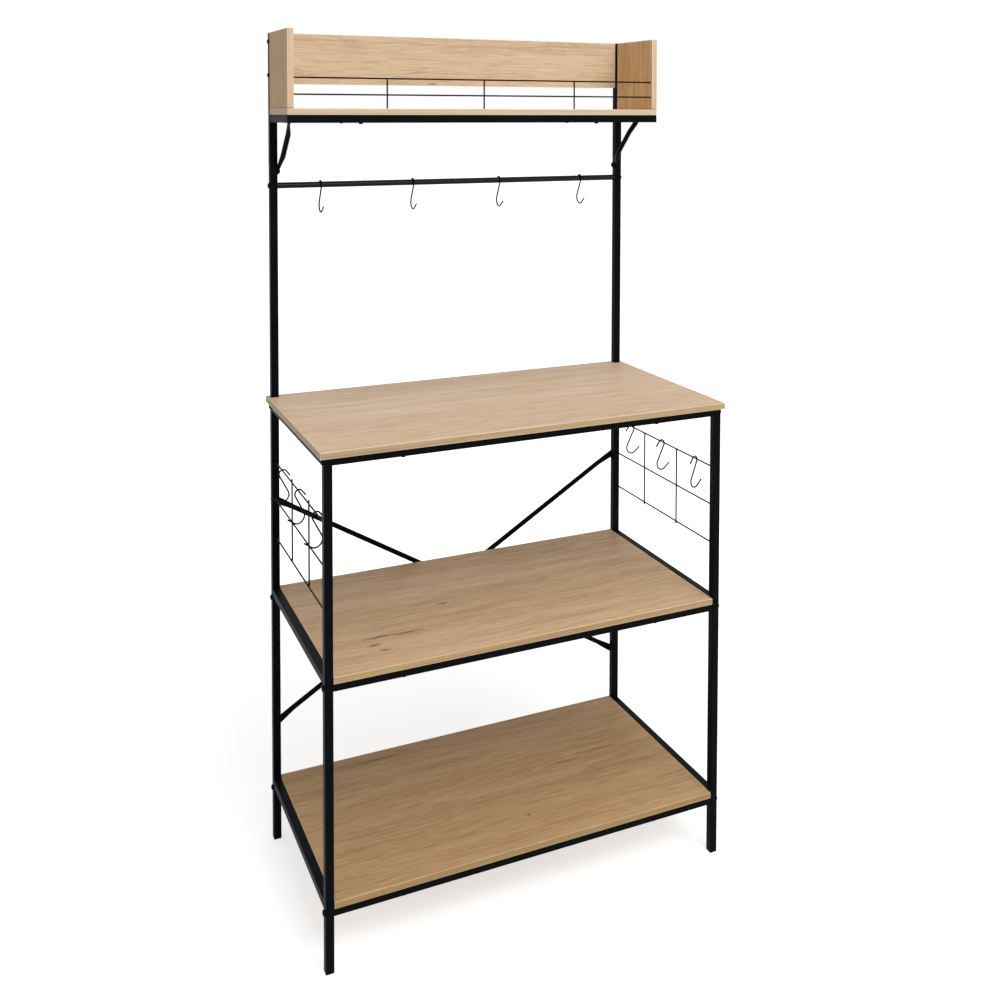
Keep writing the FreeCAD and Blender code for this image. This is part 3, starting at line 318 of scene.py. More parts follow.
def length_setting(default, name, description):
    """A length in metres."""
    return FloatProperty(name=name, description=description, unit="LENGTH", min=0.0, default=default)


def angle_setting(degrees, name, description):
    """An angle, given in degrees."""
    return FloatProperty(
        name=name, description=description, subtype="ANGLE", default=math.radians(degrees),
    )


def number_setting(default, name, description, subtype="NONE"):
    """Any other number."""
    return FloatProperty(name=name, description=description, subtype=subtype, default=default)


class LaminateSettings(bpy.types.PropertyGroup):
    """Colours and scales of the wood print on the boards."""

    pale: colour_setting(0.650, 0.492, 0.331, "Pale wood", "Ground between the streaks")
    rosy: colour_setting(0.615, 0.448, 0.301, "Rosy wood", "Slow pink drift over a board")
    warm: colour_setting(0.560, 0.389, 0.235, "Warm wood", "Broad soft bands along the grain")
    light: colour_setting(0.740, 0.586, 0.414, "Light wood", "Thin wisps along the grain")
    deep: colour_setting(0.410, 0.265, 0.155, "Deep wood", "Dashes and streaks of late wood")
    pore: colour_setting(0.270, 0.160, 0.085, "Pores", "Fine pits and sparse dark flecks")
    mark: colour_setting(0.190, 0.086, 0.034, "Knots", "Knots and dark streaks")
    # Colour of the arris line: partly the edge band's paler trim, partly painted highlight
    trim_and_highlight: colour_setting(0.820, 0.690, 0.500, "Arris trim and highlight", "Light line along the boards' sharp edges")
    edge: colour_setting(0.520, 0.375, 0.195, "Edge band", "Band on the narrow sides")
    roughness: share_setting(0.52, "Roughness", "Mean roughness of the foil")
    relief: length_setting(0.25 * MM, "Relief", "Depth of the pressed pores")
    arris: length_setting(1.9 * MM, "Arris", "Width of the light line along a board's sharp edges")
    # Height of the dark band under a panel: its joint, and painted shade in the crease
    seam: length_setting(3.0 * MM, "Seam", "Height of the dark joint under a panel on the tray board")


class CoatSettings(bpy.types.PropertyGroup):
    """Black coat on tube, wire and hooks, and the plastic and bare metal of the small parts."""

    steel: colour_setting(0.0016, 0.0021, 0.0032, "Tube coat", "Powder coat on the square tubes")
    wire: colour_setting(0.0020, 0.0022, 0.0027, "Wire coat", "Coat on the grids and the gallery")
    hook: colour_setting(0.0026, 0.0027, 0.0031, "Hook coat", "Coat on the bent hooks")
    plastic: colour_setting(0.0040, 0.0040, 0.0043, "Plastic", "Feet and caps")
    fastener: colour_setting(0.0045, 0.0045, 0.0050, "Fasteners", "Blackened bolts and screws")
    zinc: colour_setting(0.560, 0.560, 0.545, "Zinc", "Inserts and threaded plugs")
    dowel: colour_setting(0.640, 0.470, 0.300, "Beech", "Dowels under the tray's ends")
    sheen: share_setting(0.035, "Sheen", "Specular level of the black coat")


class FastenerSettings(bpy.types.PropertyGroup):
    """Sizes of the fasteners that their solids leave plain."""

    segments: IntProperty(
        name="Segments", description="Sides of a turned head", default=24, min=12, max=48,
    )
    key_width: length_setting(4.0 * MM, "Key width", "Width across the flats of a bolt's socket")
    key_depth: length_setting(1.9 * MM, "Key depth", "Depth of a bolt's socket")
    cross_reach: length_setting(2.2 * MM, "Cross reach", "Half length of a screw's cross slot")
    cross_depth: length_setting(1.3 * MM, "Cross depth", "Depth of a screw's cross slot")
    bolt_pitch: length_setting(1.0 * MM, "Bolt pitch", "Pitch of a bolt's thread")
    screw_pitch: length_setting(1.8 * MM, "Screw pitch", "Pitch of a wood screw's thread")


class WeldSettings(bpy.types.PropertyGroup):
    """Sizes of the welds, which their solids leave out."""

    bead: length_setting(1.5 * MM, "Bead", "Radius of a weld bead")
    ripple: length_setting(1.5 * MM, "Ripple", "Distance from one ripple of a bead to the next")
    short_of_corner: length_setting(
        1.8 * MM, "Short of corner", "How far a bead stops before the tube's corner",
    )
    collar_reach: length_setting(
        1.3 * MM, "Collar reach", "How far a weld collar stands out round a wire's end",
    )
    wire: length_setting(3.0 * MM, "Wire", "Diameter of the grid wire")
    overshoot: length_setting(3.0 * MM, "Overshoot", "How far a grid's uprights pass its outer runs")


class StageSettings(bpy.types.PropertyGroup):
    """Floor, light and camera."""

    camera_place: FloatVectorProperty(
        name="Camera place", description="Where the camera stands", subtype="TRANSLATION",
        unit="LENGTH", size=3, default=(-0.87586, -2.02316, 1.45440),
    )
    camera_yaw: angle_setting(24.486, "Yaw", "Turn of the view from the rear axis to the right")
    camera_dip: angle_setting(2.325, "Dip", "Tilt of the view below level")
    camera_roll: angle_setting(0.14, "Roll", "Turn of the camera about its own line of sight")
    lens: number_setting(40.872, "Lens", "Focal length on a 36 mm sensor, in millimetres")
    lens_side: number_setting(-0.01429, "Lens side", "Sideways shift of the lens in frame widths")
    lens_rise: number_setting(-0.34202, "Lens rise", "Vertical shift of the lens in frame widths")
    room_level: share_setting(0.34, "Room level", "Light from all round on the object")
    front_power: number_setting(52.0, "Front power", "Power of the front soft box", "POWER")
    top_power: number_setting(29.0, "Top power", "Power of the overhead soft box", "POWER")
    floor_side: length_setting(60.0, "Floor side", "Side of the square floor")
    floor_glow: share_setting(
        0.64, "Floor glow", "White added near the rack to the floor as the camera sees it",
    )
    glow_start: length_setting(
        0.7, "Glow start", "Distance from the middle where the floor starts to whiten",
    )
    glow_end: length_setting(1.9, "Glow end", "Distance where the floor is plain white")


class Flow:
    """A socket in a node tree. Arithmetic on it adds Math nodes."""

    def __init__(self, tree, socket=None):
        self.tree = tree
        self.socket = socket

    def node(self, kind, settings=None, inputs=None, out=0):
        """Add a node: its settings first, then the values or links of its sockets."""
        made = self.tree.nodes.new(kind)
        for name, value in (settings or {}).items():
            setattr(made, name, value)
        for name, value in (inputs or {}).items():
            if isinstance(value, Flow):
                self.tree.links.new(value.socket, made.inputs[name])
            else:
                made.inputs[name].default_value = value
        return Flow(self.tree, made.outputs[out] if made.outputs else None)

    def beside(self, out):
        """Another output of the same node."""
        return Flow(self.tree, self.socket.node.outputs[out])

    def maths(self, operation, first, second):
        """A Math node of two values."""
        return self.node("ShaderNodeMath", {"operation": operation}, {0: first, 1: second})

    def least(self, other):
        """The smaller of two values."""
        return self.maths("MINIMUM", self, other)

    def most(self, other):
        """The larger of two values."""
        return self.maths("MAXIMUM", self, other)

    def __abs__(self):
        return self.node("ShaderNodeMath", {"operation": "ABSOLUTE"}, {0: self})

    def __add__(self, other):
        return self.maths("ADD", self, other)

    def __sub__(self, other):
        return self.maths("SUBTRACT", self, other)

    def __mul__(self, other):
        return self.maths("MULTIPLY", self, other)

    def __radd__(self, other):
        return self.maths("ADD", other, self)

    def __rsub__(self, other):
        return self.maths("SUBTRACT", other, self)

    def __rmul__(self, other):
        return self.maths("MULTIPLY", other, self)


def smooth(value, low, high):
    """0 at low, 1 at high, with a soft step between."""
    return value.node(
        "ShaderNodeMapRange", {"interpolation_type": "SMOOTHSTEP"},
        {"Value": value, "From Min": low, "From Max": high},
    )


def noise(place, kind):
    """Noise of about 0 to 1, stretched along the axes."""
    stretched = place.node("ShaderNodeVectorMath", {"operation": "MULTIPLY"}, {0: place, 1: kind.scale})
    return place.node(
        "ShaderNodeTexNoise", None,
        {"Vector": stretched, "Scale": 1.0, "Detail": kind.detail, "Roughness": kind.roughness},
    )


def swing(value, reach):
    """A noise about 0 in place of one half, times its reach."""
    return (value - 0.5) * reach


def coverage(value, layer, figure=1.0):
    """How much of a layer's colour its noise brings, times a board's figure."""
    return smooth(value, layer.low, layer.high) * (layer.share * figure)


def scaled(shade, share):
    """A colour made darker or lighter."""
    return tuple(channel * share for channel in shade)


def opaque(shade):
    """A colour setting as a socket takes it."""
    return (*shade, 1.0)


def blend(mask, first, second):
    """The first colour where the mask is 0, the second where it is 1."""
    sockets = {MIX_MASK: mask}
    for socket, side in ((MIX_FIRST, first), (MIX_SECOND, second)):
        sockets[socket] = side if isinstance(side, Flow) else opaque(side)
    return mask.node("ShaderNodeMix", {"data_type": "RGBA"}, sockets, out=MIX_RESULT)


def bump(height, distance, strength):
    """A normal from a height."""
    return height.node(
        "ShaderNodeBump", None, {"Height": height, "Distance": distance, "Strength": strength},
    )


def new_material(name):
    """An empty material and the start of its node tree."""
    material = bpy.data.materials.new(name)
    material.use_nodes = True
    material.node_tree.nodes.clear()
    return material, Flow(material.node_tree)


def finish_material(start, sockets):
    """The surface shader and the output."""
    surface = start.node("ShaderNodeBsdfPrincipled", None, sockets)
    start.node("ShaderNodeOutputMaterial", None, {"Surface": surface})


def wear(objects, material):
    """Put one material on the objects' slot."""
    for thing in objects:
        thing.data.materials[0] = material


def mark_mask(place, face_axis, marks):
    """How dark a board's face is: full in each mark's middle, fading out to 0."""
    wobble = swing(noise(place, MARK_WOBBLE), MARK_WOBBLE_REACH)
    total = None
    for mark in marks:
        spots = (mark.along, mark.across, mark.across)
        spans = (mark.half_length, mark.half_width, mark.half_width)
        scale = tuple(0.0 if through else 1 / span for through, span in zip(face_axis, spans))
        offset = tuple(-spot * share for spot, share in zip(spots, scale))
        local = place.node(
            "ShaderNodeMapping", {"vector_type": "POINT"},
            {"Vector": place, "Scale": scale, "Location": offset},
        )
        reach = place.node("ShaderNodeVectorMath", {"operation": "LENGTH"}, {0: local}, out="Value")
        mask = smooth(reach + wobble, *MARK_SPAN) * mark.dark
        total = mask if total is None else total.most(mask)
    return total


def arris_distance(place, board):
    """Distance over the surface to the nearest sharp edge: the middle one of three depths."""
    low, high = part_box(board)
    split = place.node("ShaderNodeSeparateXYZ", None, {"Vector": place})
    depths = []
    for axis in range(3):
        middle = (low[axis] + high[axis]) / 2
        half = (high[axis] - low[axis]) / 2
        depths.append(half - abs(split.beside(axis) - middle))
    first, second, third = depths
    return first.least(second).most(first.most(second).least(third))


def mixed(share, first, second):
    """A colour part of the way from the first to the second."""
    return tuple(a + (b - a) * share for a, b in zip(first, second))


def laminate_material(board, settings):
    """Wood print under foil: drifting ground, figure, dashes, wisps, knots, and a plainer edge band."""
    (turn, face_axis), print_start, print_and_shade_tint, figure, edge_match = BOARDS[board]
    # The tint, and the edge band's tint made from it, hold painted shade and bounce light as well as
    # print colour
    edge_print_and_shade_tint = mixed(edge_match, print_and_shade_tint, WHITE)

    def shade(setting, tones=print_and_shade_tint):
        return tuple(channel * share for channel, share in zip(setting, tones))

    material, start = new_material("laminate_" + board)
    place = start.node("ShaderNodeTexCoord", out="Object")
    grain = place.node(
        "ShaderNodeMapping", {"vector_type": "POINT"},
        {"Vector": place, "Rotation": turn, "Location": print_start},
    )

    # Streaks wander across the grain, so that no line runs dead straight
    slow_sway = swing(noise(grain, SLOW_SWAY), SLOW_SWAY_REACH)
    quick_sway = swing(noise(grain, QUICK_SWAY), QUICK_SWAY_REACH)
    sway = slow_sway + quick_sway
    shove = sway.node("ShaderNodeCombineXYZ", None, {"Y": sway, "Z": sway})
    bent = grain.node("ShaderNodeVectorMath", {"operation": "ADD"}, {0: grain, 1: shove})

    # Year rings cut lengthwise: lines that close into long arches where the ring count turns back
    across = bent.node("ShaderNodeSeparateXYZ", None, {"Vector": bent}, out="Y")
    ring_count = across * RINGS_PER_METRE + noise(grain, RING_SHIFT) * RING_SHIFT_COUNT
    rings = across.node("ShaderNodeMath", {"operation": "SINE"}, {0: ring_count * math.tau})

    drift = noise(grain, DRIFT)
    broad = noise(bent, BROAD)
    streak = noise(bent, STREAK)
    dash = noise(bent, DASH)
    wisp = noise(bent, WISP)
    fleck = noise(bent, FLECK)
    fibre = noise(bent, FIBRE)
    pores = smooth(noise(bent, PORE), *PORE_SPAN)

    arches = smooth(rings, 0.0, 1.0) * coverage(broad, ARCHES, figure)
    streaks = coverage(streak, STREAKS, figure)
    dashes = smooth(streak, *DASH_PLACES) * coverage(dash, DASHES, figure)
    wood = blend(smooth(drift, *GROUND_SPAN), shade(settings.pale), shade(settings.rosy))
    wood = blend(coverage(broad, BANDS, figure), wood, shade(settings.warm))
    for late_wood in (arches, streaks, dashes):
        wood = blend(late_wood, wood, shade(settings.deep))
    wood = blend(coverage(wisp, WISPS), wood, shade(settings.light))
    wood = blend(coverage(fleck, FLECKS, figure), wood, shade(settings.pore))
    wood = blend(coverage(fibre, FIBRES) + pores * PORE_SHARE, wood, shade(settings.pore))
    if board in MARKS:
        wood = blend(mark_mask(place, face_axis, MARKS[board]), wood, shade(settings.mark))

    normal = start.node("ShaderNodeNewGeometry", out="Normal")
    facing = normal.node(
        "ShaderNodeVectorMath", {"operation": "DOT_PRODUCT"}, {0: normal, 1: face_axis}, out="Value",
    )
    broad_face = smooth(abs(facing), *BROAD_FACE_SPAN)
    edge = mixed(edge_match, settings.edge, settings.pale)
    edge_scale = tuple(EDGE_LAYERS_ACROSS if through else EDGE_LAYERS_ALONG for through in face_axis)
    layers = smooth(noise(place, Noise(edge_scale)), *EDGE_LAYER_SPAN)
    layers = layers * (EDGE_LAYER_SHARE - EDGE_LAYER_LOSS * edge_match)
    band = blend(layers, shade(edge, edge_print_and_shade_tint), shade(settings.deep, edge_print_and_shade_tint))
    band = blend(coverage(fibre, EDGE_FIBRES), band, shade(settings.light, edge_print_and_shade_tint))
    # The light line along the sharp edges is partly the edge band's paler trim and partly painted
    # highlight
    trim_and_highlight = smooth(arris_distance(place, board), settings.arris, settings.arris * ARRIS_FULL)
    trim_and_highlight_colour = shade(settings.trim_and_highlight, mixed(ARRIS_PALER, edge_print_and_shade_tint, WHITE))
    surface = blend(trim_and_highlight * (dash * ARRIS_GAIN - ARRIS_BREAK), blend(broad_face, band, wood), trim_and_highlight_colour)
    # Painted shade in the crease where a panel stands on the tray board, over its dark joint
    if board in SEATED_BOARDS:
        level = place.node("ShaderNodeSeparateXYZ", None, {"Vector": place}, out="Z")
        seam = smooth(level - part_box(board)[0].z, settings.seam, settings.seam * SEAM_FULL)
        surface = blend(seam * SEAM_DARK, surface, shade(settings.pore))

    gloss = swing(streak, STREAK_GLOSS) + swing(fibre, FIBRE_GLOSS) + pores * PORE_GLOSS
    relief = fibre * FIBRE_RELIEF + dash * DASH_RELIEF - pores
    finish_material(start, {
        "Base Color": surface,
        "Roughness": settings.roughness + gloss,
        "Normal": bump(relief, settings.relief, FOIL_BUMP),
        "Specular IOR Level": FOIL_SPECULAR,
    })
    return material


def coat_material(name, settings):
    """Black coat: a faint mottle, uneven gloss and a fine orange peel."""
    coat = COATS[name]
    shade = getattr(settings, coat.shade)
    material, start = new_material(name)
    place = start.node("ShaderNodeTexCoord", out="Object")
    mottle = noise(place, MOTTLE)
    grit = noise(place, GRIT)
    patches = smooth(mottle * MOTTLE_SHARE + grit * GRIT_SHARE, *MOTTLE_SPAN)
    finish_material(start, {
        "Base Color": blend(patches, shade, scaled(shade, MOTTLE_LIGHTER)),
        "Roughness": coat.roughness + swing(mottle, MOTTLE_GLOSS) + swing(grit, GRIT_GLOSS),
        "Normal": bump(grit, coat.peel, GRIT_BUMP),
        "Specular IOR Level": settings.sheen * coat.shine,
    })
    return material


def metal_material(name, shade):
    """Zinc plate with a cloudy bloom and turning marks."""
    material, start = new_material(name)
    place = start.node("ShaderNodeTexCoord", out="Object")
    bloom = noise(place, ZINC_BLOOM)
    turning = noise(place, ZINC_TURNING)
    finish_material(start, {
        "Base Color": blend(smooth(bloom, *ZINC_SPAN), shade, scaled(shade, ZINC_DARKER)),
        "Roughness": ZINC_ROUGHNESS + swing(bloom, ZINC_GLOSS),
        "Normal": bump(turning, ZINC_GROOVE, SMALL_PART_BUMP),
        "Metallic": 1.0,
    })
    return material


def dowel_material(name, shade):
    """Plain beech with short flecks along the pin."""
    material, start = new_material(name)
    place = start.node("ShaderNodeTexCoord", out="Object")
    flecks = noise(place, BEECH_FLECK)
    finish_material(start, {
        "Base Color": blend(smooth(flecks, *BEECH_SPAN), shade, scaled(shade, BEECH_DARKER)),
        "Roughness": BEECH_ROUGHNESS + swing(flecks, BEECH_GLOSS),
        "Normal": bump(flecks, BEECH_GROOVE, SMALL_PART_BUMP),
    })
    return material


def rack_piece(name, work, material, replaced):
    """A finished bmesh as a piece of the rack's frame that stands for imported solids."""
    bmesh.ops.recalc_face_normals(work, faces=work.faces)
    mesh = bpy.data.meshes.new(name)
    work.to_mesh(mesh)
    work.free()
    mesh.materials.append(material)
    mesh.polygons.foreach_set("use_smooth", [True] * len(mesh.polygons))
    mesh.set_sharp_from_angle(angle=SHARP_ANGLE)
    piece = bpy.data.objects.new(name, mesh)
    bpy.context.scene.collection.objects.link(piece)
    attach(piece, FRAME_BODY)
    if replaced:
        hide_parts(*replaced)
    return piece


def loose_solids(node):
    """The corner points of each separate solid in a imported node."""
    work = bmesh.new()
    work.from_mesh(NODES[node].data)
    bmesh.ops.remove_doubles(work, verts=work.verts, dist=MERGE_DISTANCE)
    seen = set()
    solids = []
    for first in work.verts:
        if first in seen:
            continue
        seen.add(first)
        queue = [first]
        points = []
        while queue:
            corner = queue.pop()
            points.append(corner.co.copy())
            for edge in corner.link_edges:
                neighbour = edge.other_vert(corner)
                if neighbour not in seen:
                    seen.add(neighbour)
                    queue.append(neighbour)
        solids.append(points)
    work.free()
    return solids


class Fastener:
    """Place and main sizes of one headed fastener, read from its solid's points."""

    def __init__(self, points):
        low = Vector([min(point[axis] for point in points) for axis in range(3)])
        high = Vector([max(point[axis] for point in points) for axis in range(3)])
        middle = (low + high) / 2
        extent = high - low
        along = max(range(3), key=lambda axis: extent[axis])
        across = (along + 1) % 3

        def off_axis(point):
            offset = point - middle
            offset[along] = 0.0
            return offset.length

        self.head_radius = max(extent[across], extent[(along + 2) % 3]) / 2
        rim = [point[along] for point in points if off_axis(point) > RIM_SHARE * self.head_radius]
        outward = 1 if sum(rim) / len(rim) > middle[along] else -1
        seat = min(rim) if outward > 0 else max(rim)
        top = high[along] if outward > 0 else low[along]
        tip = low[along] if outward > 0 else high[along]
        self.head_height = abs(top - seat)
        self.length = abs(seat - tip)
        half_way = (seat + tip) / 2
        shank = [off_axis(point) for point in points if (half_way - point[along]) * outward > 0]
        self.shank_radius = max(shank)
        direction = Vector((0.0, 0.0, 0.0))
        direction[along] = outward
        place = middle.copy()
        place[along] = seat
        turn = direction.to_track_quat("Z", "Y").to_matrix().to_4x4()
        self.matrix = Matrix.Translation(place) @ turn


def turned(work, profile, segments):
    """Turn a profile of (radius, height) points about Z and close both ends. Returns the top face."""
    corners = [work.verts.new((radius, 0.0, height)) for radius, height in profile]
    edges = [work.edges.new(pair) for pair in zip(corners, corners[1:])]
    bmesh.ops.spin(
        work, geom=corners + edges, cent=(0, 0, 0), axis=(0, 0, 1), angle=math.tau,
        steps=segments, use_merge=True,
    )
    rims = [edge for edge in work.edges if edge.is_boundary]
    caps = bmesh.ops.holes_fill(work, edges=rims, sides=0)["faces"]
    bmesh.ops.recalc_face_normals(work, faces=work.faces)
    return max(caps, key=lambda face: face.calc_center_median().z)


def domed_head(radius, height, edge_share, flat_radius):
    """Profile of a domed head from its flat top down to the underside's rim."""
    edge = height * edge_share
    profile = []
    for step in range(DOME_STEPS + 1):
        angle = QUARTER_TURN * (1 - step / DOME_STEPS)
        reach = flat_radius + (radius - flat_radius) * math.cos(angle)
        profile.append((reach, edge + (height - edge) * math.sin(angle)))
    profile.append((radius, 0.0))
    return profile


def threaded_shank(radius, length, plain, pitch, tooth, tip_radius, taper):
    """Profile of a shank from the head down, with rings of thread below the plain part."""
    profile = [(radius - tooth, 0.0), (radius - tooth, -plain)]
    height = plain
    while height + pitch < length - taper:
        profile.append((radius, -(height + pitch * 0.5)))
        height += pitch
        profile.append((radius - tooth, -height))
    profile.append((tip_radius, -length))
    return profile


def recess(work, top, outline, depth, floor_scale):
    """Sink a socket of the given outline into a head's flat top."""
    bmesh.ops.inset_individual(work, faces=[top], thickness=SOCKET_LIP)
    for corner in top.verts:
        angle = math.atan2(corner.co.y, corner.co.x)
        reach = outline(angle)
        corner.co.x = reach * math.cos(angle)
        corner.co.y = reach * math.sin(angle)
    floor = bmesh.ops.extrude_discrete_faces(work, faces=[top])["faces"][0]
    bmesh.ops.scale(work, verts=floor.verts, vec=(floor_scale, floor_scale, 1.0))
    bmesh.ops.translate(work, verts=floor.verts, vec=(0, 0, -depth))


def hexagon(apothem):
    """Outline of a hexagon by angle."""
    sixth = math.radians(60)

    def reach(angle):
        return apothem / math.cos((angle + sixth / 2) % sixth - sixth / 2)

    return reach


def cross(arm):
    """Outline of a cross slot by angle."""
    half_width = arm * math.tan(CROSS_ARM_ANGLE)

    def reach(angle):
        off = abs((angle + QUARTER_TURN / 2) % QUARTER_TURN - QUARTER_TURN / 2)
        if off < CROSS_TIP_ANGLE:
            return arm / math.cos(off)
        return half_width / math.sin(off)

    return reach


def place_copies(shapes):
    """Join finished shapes into one bmesh, each moved to its place."""
    joined = bmesh.new()
    for shape, matrix in shapes:
        bmesh.ops.transform(shape, matrix=matrix, verts=shape.verts)
        part = bpy.data.meshes.new("part")
        shape.to_mesh(part)
        shape.free()
        joined.from_mesh(part)
        bpy.data.meshes.remove(part)
    return joined


def bolt_shape(fastener, settings):
    """A button-head bolt with a hexagon socket and a thread towards its tip."""
    shape = bmesh.new()
    flat = settings.key_width * BOLT_FLAT
    profile = domed_head(fastener.head_radius, fastener.head_height, BOLT_RIM, flat)
    plain = SHORT_BOLT_PLAIN
    if fastener.length > LONG_BOLT:
        plain = fastener.length - LONG_BOLT_THREAD
    profile += threaded_shank(
        fastener.shank_radius, fastener.length, plain, settings.bolt_pitch, BOLT_TOOTH,
        fastener.shank_radius - BOLT_TIP, BOLT_TAPER,
    )
    top = turned(shape, profile, settings.segments)
    recess(shape, top, hexagon(settings.key_width / 2), settings.key_depth, KEY_FLOOR)
    return shape


def screw_shape(fastener, settings):
    """A pan-head wood screw with a cross slot and a pointed tip."""
    shape = bmesh.new()
    flat = fastener.head_radius * SCREW_FLAT
    profile = domed_head(fastener.head_radius, fastener.head_height, SCREW_RIM, flat)
    profile += threaded_shank(
        fastener.shank_radius, fastener.length, SCREW_PLAIN, settings.screw_pitch, SCREW_TOOTH,
        SCREW_TIP_RADIUS, SCREW_TAPER,
    )
    top = turned(shape, profile, settings.segments)
    recess(shape, top, cross(settings.cross_reach), settings.cross_depth, CROSS_FLOOR)
    return shape


def turned_fasteners(nodes, shape_of, settings, coat):
    """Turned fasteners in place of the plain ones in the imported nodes."""
    for node in nodes:
        plain = [Fastener(points) for points in loose_solids(node)]
        shapes = [(shape_of(fastener, settings), fastener.matrix) for fastener in plain]
        rack_piece(node + "_turned", place_copies(shapes), coat, [node])


def facing_matrix(place, direction):
    """Turns +Z to the direction and moves the origin to the place."""
    return Matrix.Translation(place) @ Vector(direction).to_track_quat("Z", "Y").to_matrix().to_4x4()


def weld_bead(length, settings):
    """A closed bead along +Z from the origin, with a ripple for each step of the torch."""
    shape = bmesh.new()
    ripples = max(FEWEST_RIPPLES, round(length / settings.ripple))
    half_ripple = length / ripples / 2
    bmesh.ops.create_cone(
        shape, cap_ends=True, segments=BEAD_SIDES, radius1=settings.bead * BEAD_START,
        radius2=settings.bead * BEAD_CREST, depth=2 * half_ripple,
    )
    bmesh.ops.translate(shape, verts=shape.verts, vec=(0, 0, half_ripple))
    tip = max(shape.faces, key=lambda face: face.calc_center_median().z)
    last = 2 * ripples - 2
    for step in range(1, last + 1):
        tip = bmesh.ops.extrude_discrete_faces(shape, faces=[tip])["faces"][0]
        swell = BEAD_VALLEY if step % 2 else 1 / BEAD_VALLEY
        if step == last:
            swell = BEAD_END
        bmesh.ops.scale(shape, verts=tip.verts, vec=(swell, swell, 1.0))
        bmesh.ops.translate(shape, verts=tip.verts, vec=(0, 0, half_ripple))
    return shape


def rail_beads(rail, settings, both_sides):
    """Beads under a side rail's ends, and over them where no board covers the rail."""
    low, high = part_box(rail)
    length = high.x - low.x - 2 * settings.short_of_corner
    levels = [low.z, high.z] if both_sides else [low.z]
    beads = []
    for level in levels:
        for end in (low.y, high.y):
            place = (low.x + settings.short_of_corner, end, level)
            beads.append((weld_bead(length, settings), facing_matrix(place, (1, 0, 0))))
    return beads


def wire_collar(settings):
    """A ring of weld round a wire where it meets a flat face, standing up along +Z."""
    shape = bmesh.new()
    radius = settings.wire / 2
    reach = settings.collar_reach
    profile = [
        (radius * 0.9, reach),
        (radius + reach * 0.18, reach * 0.75),
        (radius + reach * 0.5, reach * 0.4),
        (radius + reach, 0.0),
        (radius + reach, -reach * 0.2),
    ]
    turned(shape, profile, WIRE_WELD_SIDES)
    return shape


def wire_nugget(settings):
    """The squeezed metal between two crossed wires, along +Z."""
    shape = bmesh.new()
    radius = settings.wire / 2
    profile = [
        (radius * 0.5, radius * 0.9),
        (radius * 1.05, radius * 0.55),
        (radius * 1.3, 0.0),
        (radius * 1.05, -radius * 0.55),
        (radius * 0.5, -radius * 0.9),
    ]
    turned(shape, profile, WIRE_WELD_SIDES)
    return shape


def spread(low, high, count):
    """Places that divide a span into equal gaps, without its ends."""
    return [low + (high - low) * (step + 1) / (count + 1) for step in range(count)]


def grid_welds(grid, settings):
    """Collars where a side grid's runs meet the posts, and nuggets where its wires cross."""
    low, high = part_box(grid)
    hand = 1 if high.x > 0 else -1
    outer = (high.x if hand > 0 else low.x) - hand * settings.wire / 2
    front, rear = (corner.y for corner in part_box("mid_left_rail"))
    rows = (low.z + settings.overshoot, (low.z + high.z) / 2, high.z - settings.overshoot)
    welds = []
    for row in rows:
        for end, direction in ((front, 1), (rear, -1)):
            welds.append((wire_collar(settings), facing_matrix((outer, end, row), (0, direction, 0))))
        for column in spread(front, rear, GRID_UPRIGHTS):
            place = (outer - hand * settings.wire / 2, column, row)
            welds.append((wire_nugget(settings), facing_matrix(place, (1, 0, 0))))
    return welds


def nut_shape(width, height, bore):
    """A hexagon nut about Z with turned chamfers, from its width across the flats."""
    shape = bmesh.new()
    corner = width / 2 / math.cos(math.radians(30))
    face = width / 2 * NUT_FACE
    half = height / 2
    chamfer = height * NUT_CHAMFER
    profile = [
        (bore, half - chamfer), (bore + chamfer, half), (face, half), (corner, half - chamfer),
        (corner, chamfer - half), (face, -half), (bore + chamfer, -half), (bore, chamfer - half),
    ]
    turned(shape, profile, NUT_SIDES)
    outline = hexagon(width / 2)
    for vertex in shape.verts:
        radius = math.hypot(vertex.co.x, vertex.co.y)
        if radius > width / 2:
            share = outline(math.atan2(vertex.co.y, vertex.co.x)) / radius
            vertex.co.x *= share
            vertex.co.y *= share
    return shape


class RACK_OT_boards(bpy.types.Operator):
    """Give each board its own run of wood print"""

    bl_idname = "rack.boards"
    bl_label = "Laminate boards"

    def execute(self, context):
        settings = context.scene.rack_laminate
        unmatched = {node.name for node in SLOTS["oak_board"]} ^ set(BOARDS)
        if unmatched:
            raise RuntimeError("the boards and their print list differ: %s" % sorted(unmatched))
        for board in BOARDS:
            wear([NODES[board]], laminate_material(board, settings))
        return {"FINISHED"}


class RACK_OT_steel(bpy.types.Operator):
    """Coat the tubes, rails, rod and braces"""

    bl_idname = "rack.steel"
    bl_label = "Black tubes"

    def execute(self, context):
        settings = context.scene.rack_coat
        wear(SLOTS["black_steel"], coat_material("tube_coat", settings))
        wear([NODES["hanging_rod"]], coat_material("rod_coat", settings))
        return {"FINISHED"}


class RACK_OT_wire(bpy.types.Operator):
    """Coat the side grids and the tray's gallery rail"""

    bl_idname = "rack.wire"
    bl_label = "Black wire"

    def execute(self, context):
        wear(SLOTS["black_wire"], coat_material("wire_coat", context.scene.rack_coat))
        return {"FINISHED"}


class RACK_OT_hooks(bpy.types.Operator):
    """Coat the bent wire hooks"""

    bl_idname = "rack.hooks"
    bl_label = "Hooks"

    def execute(self, context):
        wear(SLOTS["hook_wire"], coat_material("hook_coat", context.scene.rack_coat))
        return {"FINISHED"}


